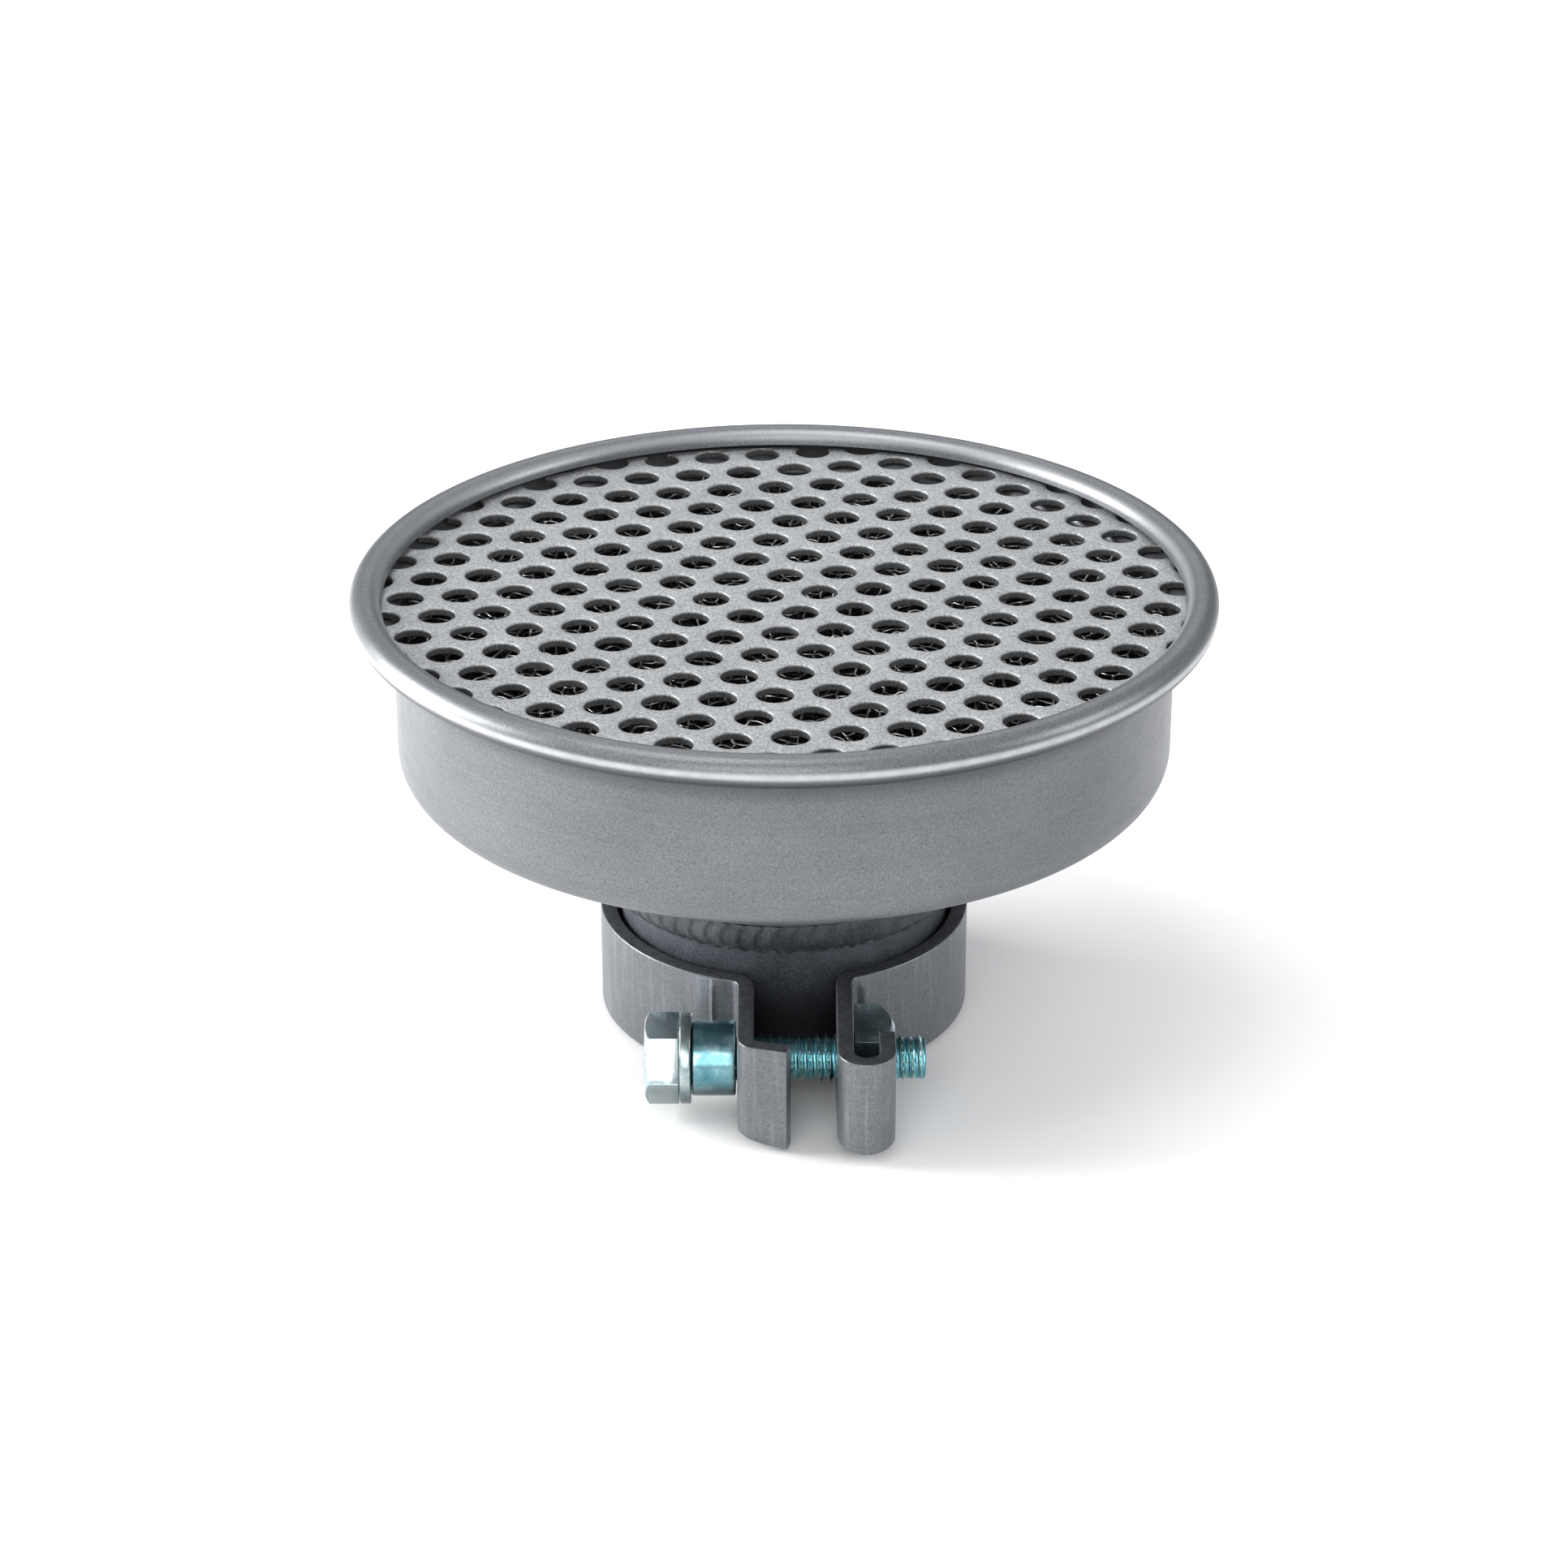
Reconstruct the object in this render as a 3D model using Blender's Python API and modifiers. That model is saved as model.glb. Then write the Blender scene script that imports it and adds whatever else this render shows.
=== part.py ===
"""Breather filter head: a sheet-metal pan packed with knitted wire mesh under a perforated cover,
on a short pipe neck that a bolted clamp band grips.

Metres, +Z up. The origin is on the neck's axis, at the neck's open lower end. The clamp's ears and
its bolt are on the -Y side, and the bolt lies along X.
"""
import math

import bmesh
import bpy
from mathutils import Matrix, Vector

MM = 0.001
GAP = 0.3 * MM                       # clearance between neighbouring solids
MERGE = 0.00001
ROUND_STEPS = 48                     # facets round the large turned shapes
SMALL_STEPS = 24                     # and round the fasteners

# Neck
NECK_R = 27.5 * MM
NECK_WALL = 2.0 * MM
NECK_TOP = 28.7 * MM
SLOT_WIDTH = 2.5 * MM
SLOT_DEPTH = 17.5 * MM
SLOT_ANGLES = (45, 135, 225, 315)

# Housing pan
SHEET = 0.8 * MM
PAN_R = 64.0 * MM                    # outside of the wall
CORNER_R = 4.5 * MM                  # outside radius between wall and floor
CORNER_Z = 49.6 * MM                 # height of that radius's centre
CONE_ANGLE = math.radians(28.5)
CONE_MOUTH_R = NECK_R + GAP          # the cone's lower edge
FLARE_BEND_R = 1.6 * MM
FLARE_Z = 71.2 * MM                  # underside of the ledge that the cover rests on
CURL_R = 2.6 * MM                    # outside radius of the rolled rim
CURL_CENTRE_R = 68.4 * MM
CURL_CENTRE_Z = 74.9 * MM
CURL_START = math.radians(-62)       # the curl leaves the sloping ledge here
CURL_END = math.radians(172)         # and ends over the cover's edge
LIP_LENGTH = 0.5 * MM

# Perforated cover
COVER_R = 67.3 * MM
COVER_SHEET = 1.5 * MM
COVER_Z = FLARE_Z + SHEET + GAP
HOLE_R = 3.0 * MM
HOLE_PITCH = 9.0 * MM
HOLE_FIELD_R = 67.6 * MM             # a hole's centre is kept inside this radius
COVER_MARGIN = 0.5 * MM              # edge left outside the outermost holes
HOLE_SIDES = 6
PATTERN_TURN = math.radians(8.96)
PATTERN_SHIFT = (-3.0 * MM, 1.0 * MM)

# Support screen and the ring that it sits on
SCREEN_R = 62.4 * MM
SCREEN_Z = 48.8 * MM
SCREEN_SHEET = 1.0 * MM
SCREEN_HOLE_R = 5.0 * MM
SCREEN_PITCH = 15.0 * MM
SCREEN_FIELD_R = 56.0 * MM
RING_R = 57.0 * MM
RING_WIDTH = 3.0 * MM

# Packing: layers of knitted wire mesh between the screen and the cover
LAYER_COUNT = 5
LAYER_R = 62.4 * MM
PACK_LOW = SCREEN_Z + SCREEN_SHEET + GAP
PACK_HIGH = COVER_Z - GAP
LAYER_T = (PACK_HIGH - PACK_LOW - (LAYER_COUNT - 1) * GAP) / LAYER_COUNT

# Weld between neck and cone
WELD_LOW = 22.1 * MM
WELD_R = 32.4 * MM
WELD_BULGE = 1.1 * MM
WELD_STEPS = 4

# Clamp band: one strip, bent round the neck, with a flanged left ear and a hooked right ear
BAND_T = 2.6 * MM
BAND_LOW = 0.5 * MM
BAND_WIDTH = 18.0 * MM
BAND_R = 29.7 * MM                   # middle of the strip, as are the sizes below
ROOT_BEND_R = 3.1 * MM
LEFT_EAR_X = -6.2 * MM
LEFT_CORNER_Y = -50.6 * MM
LEFT_BEND_R = 2.2 * MM
FLANGE_END = (0.7 * MM, -52.5 * MM)
RIGHT_EAR_X = 9.8 * MM
HOOK_BEND_R = 3.35 * MM
HOOK_FRONT_Y = -56.5 * MM
HOOK_END_Y = -46.9 * MM
EAR_HOLE_R = 4.5 * MM
BAND_EDGE = 0.3 * MM                 # broken edges

# Bolt, washer, sleeve and nut share one axis along X
BOLT_Y = -39.5 * MM
BOLT_Z = 9.5 * MM
BOLT_R = 4.0 * MM
BOLT_LENGTH = 40.0 * MM
BOLT_TIP_CHAMFER = 1.0 * MM
HEAD_ACROSS_FLATS = 13.0 * MM
HEAD_T = 5.4 * MM
HEAD_TURN = math.radians(-6)
WASHER_R = 7.4 * MM
WASHER_T = 1.8 * MM
WASHER_SPLIT = 1.2 * MM
WASHER_SPLIT_TURN = math.radians(35)
SLEEVE_R = 6.1 * MM
SLEEVE_LENGTH = 6.9 * MM
BORE_R = BOLT_R + 0.35 * MM
NUT_WIDTH = 13.0 * MM
NUT_T = 6.5 * MM
CHAMFER_SLOPE = math.tan(math.radians(30))

SLEEVE_X = LEFT_EAR_X - BAND_T / 2 - GAP - SLEEVE_LENGTH
WASHER_X = SLEEVE_X - GAP - WASHER_T
HEAD_X = WASHER_X - GAP              # under the head
NUT_X = RIGHT_EAR_X + BAND_T / 2 + GAP

OBJECT_NAME = "breather_filter_head"


def clear_scene():
    for obj in list(bpy.data.objects):
        bpy.data.objects.remove(obj, do_unlink=True)


def collection(name):
    made = bpy.data.collections.new(name)
    bpy.context.scene.collection.children.link(made)
    return made


def material(name, colour, metallic, roughness):
    made = bpy.data.materials.new(name)
    made.use_nodes = True
    shader = made.node_tree.nodes["Principled BSDF"]
    shader.inputs["Base Color"].default_value = (*colour, 1.0)
    shader.inputs["Metallic"].default_value = metallic
    shader.inputs["Roughness"].default_value = roughness
    return made


def add_object(name, mesh, group, look=None, parent=None):
    obj = bpy.data.objects.new(name, mesh)
    group.objects.link(obj)
    obj.parent = parent
    if look:
        mesh.materials.append(look)
    return obj


def axis_empty(name, place, group, parent=None):
    """A joint's axis: the pieces that move on it are its children."""
    empty = bpy.data.objects.new(name, None)
    empty.location = place
    empty.parent = parent
    group.objects.link(empty)
    return empty


def hide_cutter(obj):
    obj.hide_render = True
    obj.display_type = "WIRE"


def shade(obj, angle=35):
    obj.data.shade_smooth()
    obj.data.set_sharp_from_angle(angle=math.radians(angle))


def combine(obj, other, operation):
    modifier = obj.modifiers.new(operation.lower(), "BOOLEAN")
    modifier.operation = operation
    modifier.solver = "EXACT"
    modifier.object = other
    hide_cutter(other)


def arc(centre, radius, start, end, count):
    """Points on an arc in a plane, angles in radians."""
    points = []
    for step in range(count + 1):
        angle = start + (end - start) * step / count
        points.append((centre[0] + radius * math.cos(angle), centre[1] + radius * math.sin(angle)))
    return points


def profile_mesh(name, points, closed):
    """Edges in the XZ plane, for a Screw modifier. Points are (radius, height)."""
    shape = bmesh.new()
    verts = [shape.verts.new((r, 0.0, z)) for r, z in points]
    for first, second in zip(verts, verts[1:]):
        shape.edges.new((first, second))
    if closed:
        shape.edges.new((verts[-1], verts[0]))
    mesh = bpy.data.meshes.new(name)
    shape.to_mesh(mesh)
    shape.free()
    return mesh


def turned(name, points, group, look=None, parent=None, steps=ROUND_STEPS, closed=True):
    """A profile that runs down its outer side, turned about its object's Z axis."""
    obj = add_object(name, profile_mesh(name, points, closed), group, look, parent)
    screw = obj.modifiers.new("turn", "SCREW")
    screw.axis = "Z"
    screw.angle = math.tau
    screw.steps = steps
    screw.render_steps = steps
    screw.use_merge_vertices = True
    screw.merge_threshold = MERGE
    screw.use_smooth_shade = True
    return obj


def ring_profile(inner, outer, low, high):
    return [(inner, high), (outer, high), (outer, low), (inner, low)]


def lie_along_x(obj, x):
    """Turn a piece made about +Z so that its +Z points along -X, its base at x."""
    obj.location = (x, 0.0, 0.0)
    obj.rotation_euler = (0.0, -math.pi / 2, 0.0)


def prism(name, radius, low, high, sides, group, look=None, parent=None, turn=0.0):
    """A closed upright prism from a primitive, between two heights."""
    shape = bmesh.new()
    place = Matrix.Translation((0, 0, (low + high) / 2)) @ Matrix.Rotation(turn, 4, "Z")
    bmesh.ops.create_cone(shape, cap_ends=True, segments=sides, radius1=radius, radius2=radius,
                          depth=high - low, matrix=place)
    mesh = bpy.data.meshes.new(name)
    shape.to_mesh(mesh)
    shape.free()
    obj = add_object(name, mesh, group, look, parent)
    shade(obj)
    return obj


def hole_cutter(name, centres, radius, sides, low, high, limit, group):
    """One cutter of many separate upright prisms, none reaching past the limit radius."""
    shape = bmesh.new()
    for x, y in centres:
        bmesh.ops.create_cone(shape, cap_ends=True, segments=sides, radius1=radius,
                              radius2=radius, depth=high - low,
                              matrix=Matrix.Translation((x, y, (low + high) / 2)))
    for vert in shape.verts:
        reach = vert.co.xy.length
        if reach > limit:
            vert.co.xy *= limit / reach
    mesh = bpy.data.meshes.new(name)
    shape.to_mesh(mesh)
    shape.free()
    return add_object(name, mesh, group)


def triangular_grid(pitch, field_r, turn=0.0, shift=(0.0, 0.0)):
    """Centres of a triangular pattern that lie inside a radius."""
    along = Vector((math.cos(turn), math.sin(turn))) * pitch
    slanting = Vector((math.cos(turn + math.pi / 3), math.sin(turn + math.pi / 3))) * pitch
    reach = int(field_r / pitch * 1.3) + 2
    centres = []
    for i in range(-reach, reach + 1):
        for j in range(-reach, reach + 1):
            place = Vector(shift) + along * i + slanting * j
            if place.length < field_r:
                centres.append(tuple(place))
    return centres


def cone_height(radius):
    """Height of the pan floor's underside at a radius."""
    tangent_r = PAN_R - CORNER_R + CORNER_R * math.sin(CONE_ANGLE)
    tangent_z = CORNER_Z - CORNER_R * math.cos(CONE_ANGLE)
    return tangent_z - (tangent_r - radius) * math.tan(CONE_ANGLE)


def cone_top(radius):
    """Height of the pan floor's upper face at a radius."""
    return cone_height(radius) + SHEET / math.cos(CONE_ANGLE)


def make_housing(parts):
    """The pan: rolled rim, flare, wall, corner and conical floor, all one sheet."""
    grey = material("silver_paint", (0.30, 0.31, 0.32), 0.75, 0.42)
    half = SHEET / 2
    down = -math.pi / 2
    curl_centre = (CURL_CENTRE_R, CURL_CENTRE_Z)
    wall_mid = PAN_R - half

    # The sheet's middle line, from the lip over the curl and down the outside to the mouth.
    curl = arc(curl_centre, CURL_R - half, CURL_END, CURL_START, 9)
    lip = (curl[0][0] - LIP_LENGTH * math.sin(CURL_END), curl[0][1] + LIP_LENGTH * math.cos(CURL_END))
    flare_mid = FLARE_Z + half
    slope = -1 / math.tan(CURL_START)
    ledge = (curl[-1][0] - (curl[-1][1] - flare_mid) / slope, flare_mid)
    flare = arc((wall_mid + FLARE_BEND_R, flare_mid - FLARE_BEND_R), FLARE_BEND_R,
                math.pi / 2, math.pi, 3)
    corner = arc((PAN_R - CORNER_R, CORNER_Z), CORNER_R - half, 0.0, CONE_ANGLE + down, 3)
    mouth_r = CONE_MOUTH_R + half * math.sin(CONE_ANGLE)
    mouth = (mouth_r, cone_height(mouth_r) + half / math.cos(CONE_ANGLE))

    pan = turned("housing_pan", [lip, *curl, ledge, *flare, *corner, mouth], parts, grey, closed=False)
    shell = pan.modifiers.new("sheet", "SOLIDIFY")
    shell.thickness = SHEET
    shell.offset = 0.0
    shell.use_even_offset = True


def make_cover(parts, cutters):
    grey = material("cover_paint", (0.42, 0.43, 0.44), 0.7, 0.5)
    cover = prism("perforated_cover", COVER_R, COVER_Z, COVER_Z + COVER_SHEET, ROUND_STEPS,
                  parts, grey)
    centres = triangular_grid(HOLE_PITCH, HOLE_FIELD_R, PATTERN_TURN, PATTERN_SHIFT)
    holes = hole_cutter("cover_holes", centres, HOLE_R, HOLE_SIDES,
                        COVER_Z - MM, COVER_Z + COVER_SHEET + MM, COVER_R - COVER_MARGIN, cutters)
    combine(cover, holes, "DIFFERENCE")


def make_packing(parts):
    """The wire-mesh layers, each a plain disc of the space that it fills."""
    steel = material("bright_wire", (0.45, 0.45, 0.44), 0.95, 0.35)
    for number in range(LAYER_COUNT):
        low = PACK_LOW + number * (LAYER_T + GAP)
        prism(f"mesh_layer_{number + 1}", LAYER_R, low, low + LAYER_T, ROUND_STEPS, parts, steel)


def make_screen(parts, cutters):
    steel = material("zinc_sheet", (0.42, 0.44, 0.45), 0.85, 0.45)
    screen = prism("support_screen", SCREEN_R, SCREEN_Z, SCREEN_Z + SCREEN_SHEET, ROUND_STEPS,
                   parts, steel)
    holes = hole_cutter("screen_holes", triangular_grid(SCREEN_PITCH, SCREEN_FIELD_R),
                        SCREEN_HOLE_R, HOLE_SIDES,
                        SCREEN_Z - MM, SCREEN_Z + SCREEN_SHEET + MM, SCREEN_R, cutters)
    combine(screen, holes, "DIFFERENCE")
    inner = RING_R - RING_WIDTH
    turned("support_ring",
           [(inner, SCREEN_Z - GAP), (RING_R, SCREEN_Z - GAP),
            (RING_R, cone_top(RING_R) + GAP), (inner, cone_top(inner) + GAP)],
           parts, steel)


def make_neck(parts, cutters):
    """A pipe whose lower end is slotted, so that the clamp can close it on a pipe inside."""
    dark = material("dark_primer", (0.03, 0.035, 0.045), 0.3, 0.6)
    neck = turned("neck_tube", ring_profile(NECK_R - NECK_WALL, NECK_R, 0.0, NECK_TOP), parts, dark)
    shape = bmesh.new()
    for angle in SLOT_ANGLES:
        turn = Matrix.Rotation(math.radians(angle), 4, "Z")
        place = turn @ Matrix.Translation((NECK_R, 0.0, 0.0))
        size = Matrix.Diagonal((NECK_WALL * 4, SLOT_WIDTH, SLOT_DEPTH * 2, 1.0))
        bmesh.ops.create_cube(shape, size=1.0, matrix=place @ size)
    mesh = bpy.data.meshes.new("neck_slots")
    shape.to_mesh(mesh)
    shape.free()
    combine(neck, add_object("neck_slots", mesh, cutters), "DIFFERENCE")

    weld_look = material("weld_metal", (0.2, 0.21, 0.22), 0.8, 0.5)
    inner = NECK_R + GAP
    lift = GAP / math.cos(CONE_ANGLE)
    top = Vector((WELD_R, cone_height(WELD_R) - lift))
    toe = Vector((inner, WELD_LOW))
    outward = Vector((top.y - toe.y, toe.x - top.x)).normalized()
    face = []
    for step in range(WELD_STEPS + 1):
        share = step / WELD_STEPS
        bulge = outward * (WELD_BULGE * math.sin(math.pi * share))
        face.append(tuple(top.lerp(toe, share) + bulge))
    turned("neck_weld", [(inner, cone_height(inner) - lift), *face], parts, weld_look)


def root_bend(ear_x, side):
    """The bend from an ear onto the band's circle, from the ear's end. side is -1 left, 1 right."""
    centre_x = ear_x + side * ROOT_BEND_R
    centre_y = -math.sqrt((BAND_R + ROOT_BEND_R) ** 2 - centre_x ** 2)
    start = math.pi if side > 0 else 0.0
    towards_origin = math.atan2(-centre_y, -centre_x)
    return arc((centre_x, centre_y), ROOT_BEND_R, start, towards_origin, 5)


def band_path():
    """The strip's middle line in the XY plane, from the left flange round to the hook's end."""
    corner = Vector((LEFT_EAR_X, LEFT_CORNER_Y))
    along_flange = (Vector(FLANGE_END) - corner).normalized()
    half_turn = along_flange.angle(Vector((0.0, 1.0))) / 2
    reach = LEFT_BEND_R / math.tan(half_turn)
    bend_centre = (LEFT_EAR_X + LEFT_BEND_R, LEFT_CORNER_Y + reach)
    flange_angle = math.atan2(along_flange.y, along_flange.x) - math.pi / 2
    left = [FLANGE_END] + arc(bend_centre, LEFT_BEND_R, flange_angle, -math.pi, 5)
    left += root_bend(LEFT_EAR_X, -1)

    right = root_bend(RIGHT_EAR_X, 1)[::-1]
    hook_centre = (RIGHT_EAR_X + HOOK_BEND_R, HOOK_FRONT_Y + HOOK_BEND_R)
    right += arc(hook_centre, HOOK_BEND_R, math.pi, math.tau, 10)
    right.append((RIGHT_EAR_X + 2 * HOOK_BEND_R, HOOK_END_Y))

    first = math.atan2(left[-1][1], left[-1][0]) % math.tau
    last = math.atan2(right[0][1], right[0][0]) % math.tau - math.tau
    circle = arc((0.0, 0.0), BAND_R, first, last, 40)
    return left + circle[1:-1] + right


def make_clamp(parts, cutters, turn_axis):
    steel = material("clamp_steel", (0.30, 0.31, 0.32), 0.8, 0.42)
    shape = bmesh.new()
    low = [shape.verts.new((x, y, BAND_LOW)) for x, y in band_path()]
    high = [shape.verts.new((x, y, BAND_LOW + BAND_WIDTH)) for x, y in band_path()]
    for index in range(len(low) - 1):
        shape.faces.new((low[index], low[index + 1], high[index + 1], high[index]))
    mesh = bpy.data.meshes.new("clamp_band")
    shape.to_mesh(mesh)
    shape.free()
    band = add_object("clamp_band", mesh, parts, steel, turn_axis)
    strip = band.modifiers.new("strip", "SOLIDIFY")
    strip.thickness = BAND_T
    strip.offset = 0.0
    strip.use_even_offset = True
    edge = band.modifiers.new("edge", "BEVEL")
    edge.width = BAND_EDGE
    edge.segments = 1
    edge.limit_method = "ANGLE"
    edge.angle_limit = math.radians(60)
    drill = prism("ear_holes", EAR_HOLE_R, -12.0 * MM, 12.0 * MM, SMALL_STEPS, cutters)
    drill.location = (0.0, BOLT_Y, BOLT_Z)
    drill.rotation_euler = (0.0, math.pi / 2, 0.0)
    combine(band, drill, "DIFFERENCE")


def chamfer_tool(name, across, low, high, group, parent):
    """A turned solid whose top edge is cut back at 30 degrees, for hexagons and squares."""
    flat_r = across / 2 * 0.95
    corner_r = across
    drop = (corner_r - flat_r) * CHAMFER_SLOPE
    return turned(name, [(0.0, high), (flat_r, high), (corner_r, high - drop),
                         (corner_r, low - MM), (0.0, low - MM)],
                  group, parent=parent, steps=36, closed=False)


def make_fasteners(parts, cutters, bolt_axis):
    """Bolt, lock washer, sleeve and square nut. Each is made about +Z, then laid along X."""
    zinc = material("zinc_plate", (0.62, 0.66, 0.68), 0.95, 0.22)
    nut_look = material("nut_zinc", (0.30, 0.38, 0.40), 0.9, 0.3)

    # The head grows from its bearing face, which is at the object's origin; the shank is below it.
    bolt = prism("clamp_bolt", HEAD_ACROSS_FLATS / math.sqrt(3), 0.0, HEAD_T, 6, parts, zinc,
                 bolt_axis, HEAD_TURN)
    lie_along_x(bolt, HEAD_X)
    tool = chamfer_tool("head_chamfer", HEAD_ACROSS_FLATS, 0.0, HEAD_T, cutters, bolt_axis)
    lie_along_x(tool, HEAD_X)
    combine(bolt, tool, "INTERSECT")
    tip_r = BOLT_R - BOLT_TIP_CHAMFER
    shank = turned("bolt_shank",
                   [(0.0, HEAD_T / 2), (BOLT_R, HEAD_T / 2),
                    (BOLT_R, BOLT_TIP_CHAMFER - BOLT_LENGTH), (tip_r, -BOLT_LENGTH),
                    (0.0, -BOLT_LENGTH)],
                   cutters, parent=bolt_axis, steps=SMALL_STEPS, closed=False)
    lie_along_x(shank, HEAD_X)
    combine(bolt, shank, "UNION")

    washer = turned("lock_washer", ring_profile(BORE_R, WASHER_R, 0.0, WASHER_T), parts, zinc,
                    bolt_axis, SMALL_STEPS)
    lie_along_x(washer, WASHER_X + WASHER_T)
    split = prism("washer_split", 1.0, 0.0, 1.0, 4, cutters, parent=bolt_axis, turn=math.pi / 4)
    split.data.transform(Matrix.Diagonal((WASHER_R / math.sqrt(2), WASHER_SPLIT / math.sqrt(2),
                                          WASHER_T * 2, 1.0)))
    split.data.transform(Matrix.Translation((WASHER_R / 2 + BORE_R / 2, 0.0, -WASHER_T / 2)))
    split.data.transform(Matrix.Rotation(WASHER_SPLIT_TURN, 4, "Z"))
    lie_along_x(split, WASHER_X + WASHER_T)
    combine(washer, split, "DIFFERENCE")

    sleeve = turned("bolt_sleeve", ring_profile(BORE_R, SLEEVE_R, 0.0, SLEEVE_LENGTH), parts, zinc,
                    bolt_axis, SMALL_STEPS)
    lie_along_x(sleeve, SLEEVE_X + SLEEVE_LENGTH)

    # The nut's chamfered face is outward, away from the ear, so it is turned to point along +X.
    nut = prism("square_nut", NUT_WIDTH / math.sqrt(2), 0.0, NUT_T, 4, parts, nut_look, bolt_axis,
                math.pi / 4)
    nut_tool = chamfer_tool("nut_chamfer", NUT_WIDTH, 0.0, NUT_T, cutters, bolt_axis)
    bore = prism("nut_bore", BORE_R, -MM, NUT_T + MM, SMALL_STEPS, cutters, parent=bolt_axis)
    for piece in (nut, nut_tool, bore):
        piece.location = (NUT_X, 0.0, 0.0)
        piece.rotation_euler = (0.0, math.pi / 2, 0.0)
    combine(nut, nut_tool, "INTERSECT")
    combine(nut, bore, "DIFFERENCE")


def build():
    clear_scene()
    parts = collection(OBJECT_NAME)
    cutters = collection("cutters")
    turn_axis = axis_empty("clamp_turn_axis", (0.0, 0.0, 0.0), parts)
    bolt_axis = axis_empty("bolt_axis", (0.0, BOLT_Y, BOLT_Z), parts, turn_axis)
    make_housing(parts)
    make_cover(parts, cutters)
    make_packing(parts)
    make_screen(parts, cutters)
    make_neck(parts, cutters)
    make_clamp(parts, cutters, turn_axis)
    make_fasteners(parts, cutters, bolt_axis)


build()
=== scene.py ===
"""Looks of the breather filter head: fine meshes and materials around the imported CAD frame.

Metres, +Z up, in the CAD frame: the origin is on the neck's axis at its lower end, the clamp's
ears and bolt are on -Y, and the bolt lies along X with its head at -X.
"""
import math

import bmesh
import bpy
import numpy as np
from mathutils import Matrix, Vector


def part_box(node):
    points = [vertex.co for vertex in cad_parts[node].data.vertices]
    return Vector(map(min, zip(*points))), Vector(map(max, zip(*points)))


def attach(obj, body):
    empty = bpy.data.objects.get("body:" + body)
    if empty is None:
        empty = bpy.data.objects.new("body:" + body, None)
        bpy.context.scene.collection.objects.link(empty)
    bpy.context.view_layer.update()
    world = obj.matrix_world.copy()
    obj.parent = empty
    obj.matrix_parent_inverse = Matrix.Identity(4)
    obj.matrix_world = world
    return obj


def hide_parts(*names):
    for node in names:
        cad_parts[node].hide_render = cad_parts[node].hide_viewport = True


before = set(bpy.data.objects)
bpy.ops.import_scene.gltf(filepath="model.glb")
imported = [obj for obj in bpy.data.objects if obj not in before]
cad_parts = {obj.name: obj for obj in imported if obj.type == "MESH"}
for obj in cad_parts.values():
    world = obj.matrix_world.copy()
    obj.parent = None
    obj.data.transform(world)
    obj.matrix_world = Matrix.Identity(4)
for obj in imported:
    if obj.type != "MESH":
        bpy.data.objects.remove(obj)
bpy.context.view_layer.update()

MM = 0.001
TAU = math.tau
RANDOM = np.random.default_rng(7)

# Sizes read from the frame
PAN_LOW, PAN_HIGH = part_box("housing_pan")
COVER_LOW, COVER_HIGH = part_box("perforated_cover")
SCREEN_LOW, SCREEN_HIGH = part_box("support_screen")
NECK_LOW, NECK_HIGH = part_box("neck_tube")
WELD_LOW, WELD_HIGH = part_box("neck_weld")
BAND_LOW, BAND_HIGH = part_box("clamp_band")
BOLT_LOW, BOLT_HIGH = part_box("clamp_bolt")
WASHER_LOW, WASHER_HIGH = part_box("lock_washer")
SLEEVE_LOW, SLEEVE_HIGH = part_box("bolt_sleeve")
NUT_LOW, NUT_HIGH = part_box("square_nut")
BOLT_Y = (SLEEVE_LOW.y + SLEEVE_HIGH.y) / 2
BOLT_Z = (SLEEVE_LOW.z + SLEEVE_HIGH.z) / 2

# Design sizes that the frame's boxes don't give, in mm
SHEET = 0.8
PAN_R = 64.0
CORNER_R = 4.5
CORNER_Z = 49.6
CONE_ANGLE = math.radians(28.5)
MOUTH_R = 27.8
FLARE_BEND_R = 1.6
FLARE_Z = 71.2
CURL_R = 2.6
CURL_CENTRE = (68.4, 74.9)
CURL_START = math.radians(-62)
CURL_END = math.radians(172)
HOLE_R = 3.0
HOLE_PITCH = 9.0
PATTERN_TURN = math.radians(8.96)
PATTERN_SHIFT = (-3.0, 1.0)
SCREEN_HOLE_R = 5.0
SCREEN_PITCH = 15.0
NECK_WALL = 2.0
SLOT_WIDTH = 2.5
SLOT_HEIGHT = 17.5
LAYER_COUNT = 5
BAND_T = 2.6
BAND_R = 29.7
EAR_ROOT_R = 3.1
FLANGE_BEND_R = 2.2
FLANGE_CORNER_Y = -50.6
FLANGE_END = (0.7, -52.5)
HOOK_R = 3.35
HOOK_TIP_Y = -46.9
# Raised lines on the band's outside: x, low end, high end, how high and how wide
RIBS = ((-11.2, 8.5, 17.4, 0.30, 0.30), (12.6, 12.8, 17.6, 0.36, 0.75))
HEX_FLATS = 13.0
HEAD_TURN = math.radians(-6)
THREAD_R = 4.0
THREAD_DEPTH = 0.72
THREAD_PITCH = 1.5
# The CAD's gap between neighbours, and how far head and sleeve reach into theirs at the washer
GAP = 0.3
SEAT = 0.16
LEFT_EAR_X = SLEEVE_HIGH.x / MM + GAP + BAND_T / 2
RIGHT_EAR_X = NUT_LOW.x / MM - GAP - BAND_T / 2

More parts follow.
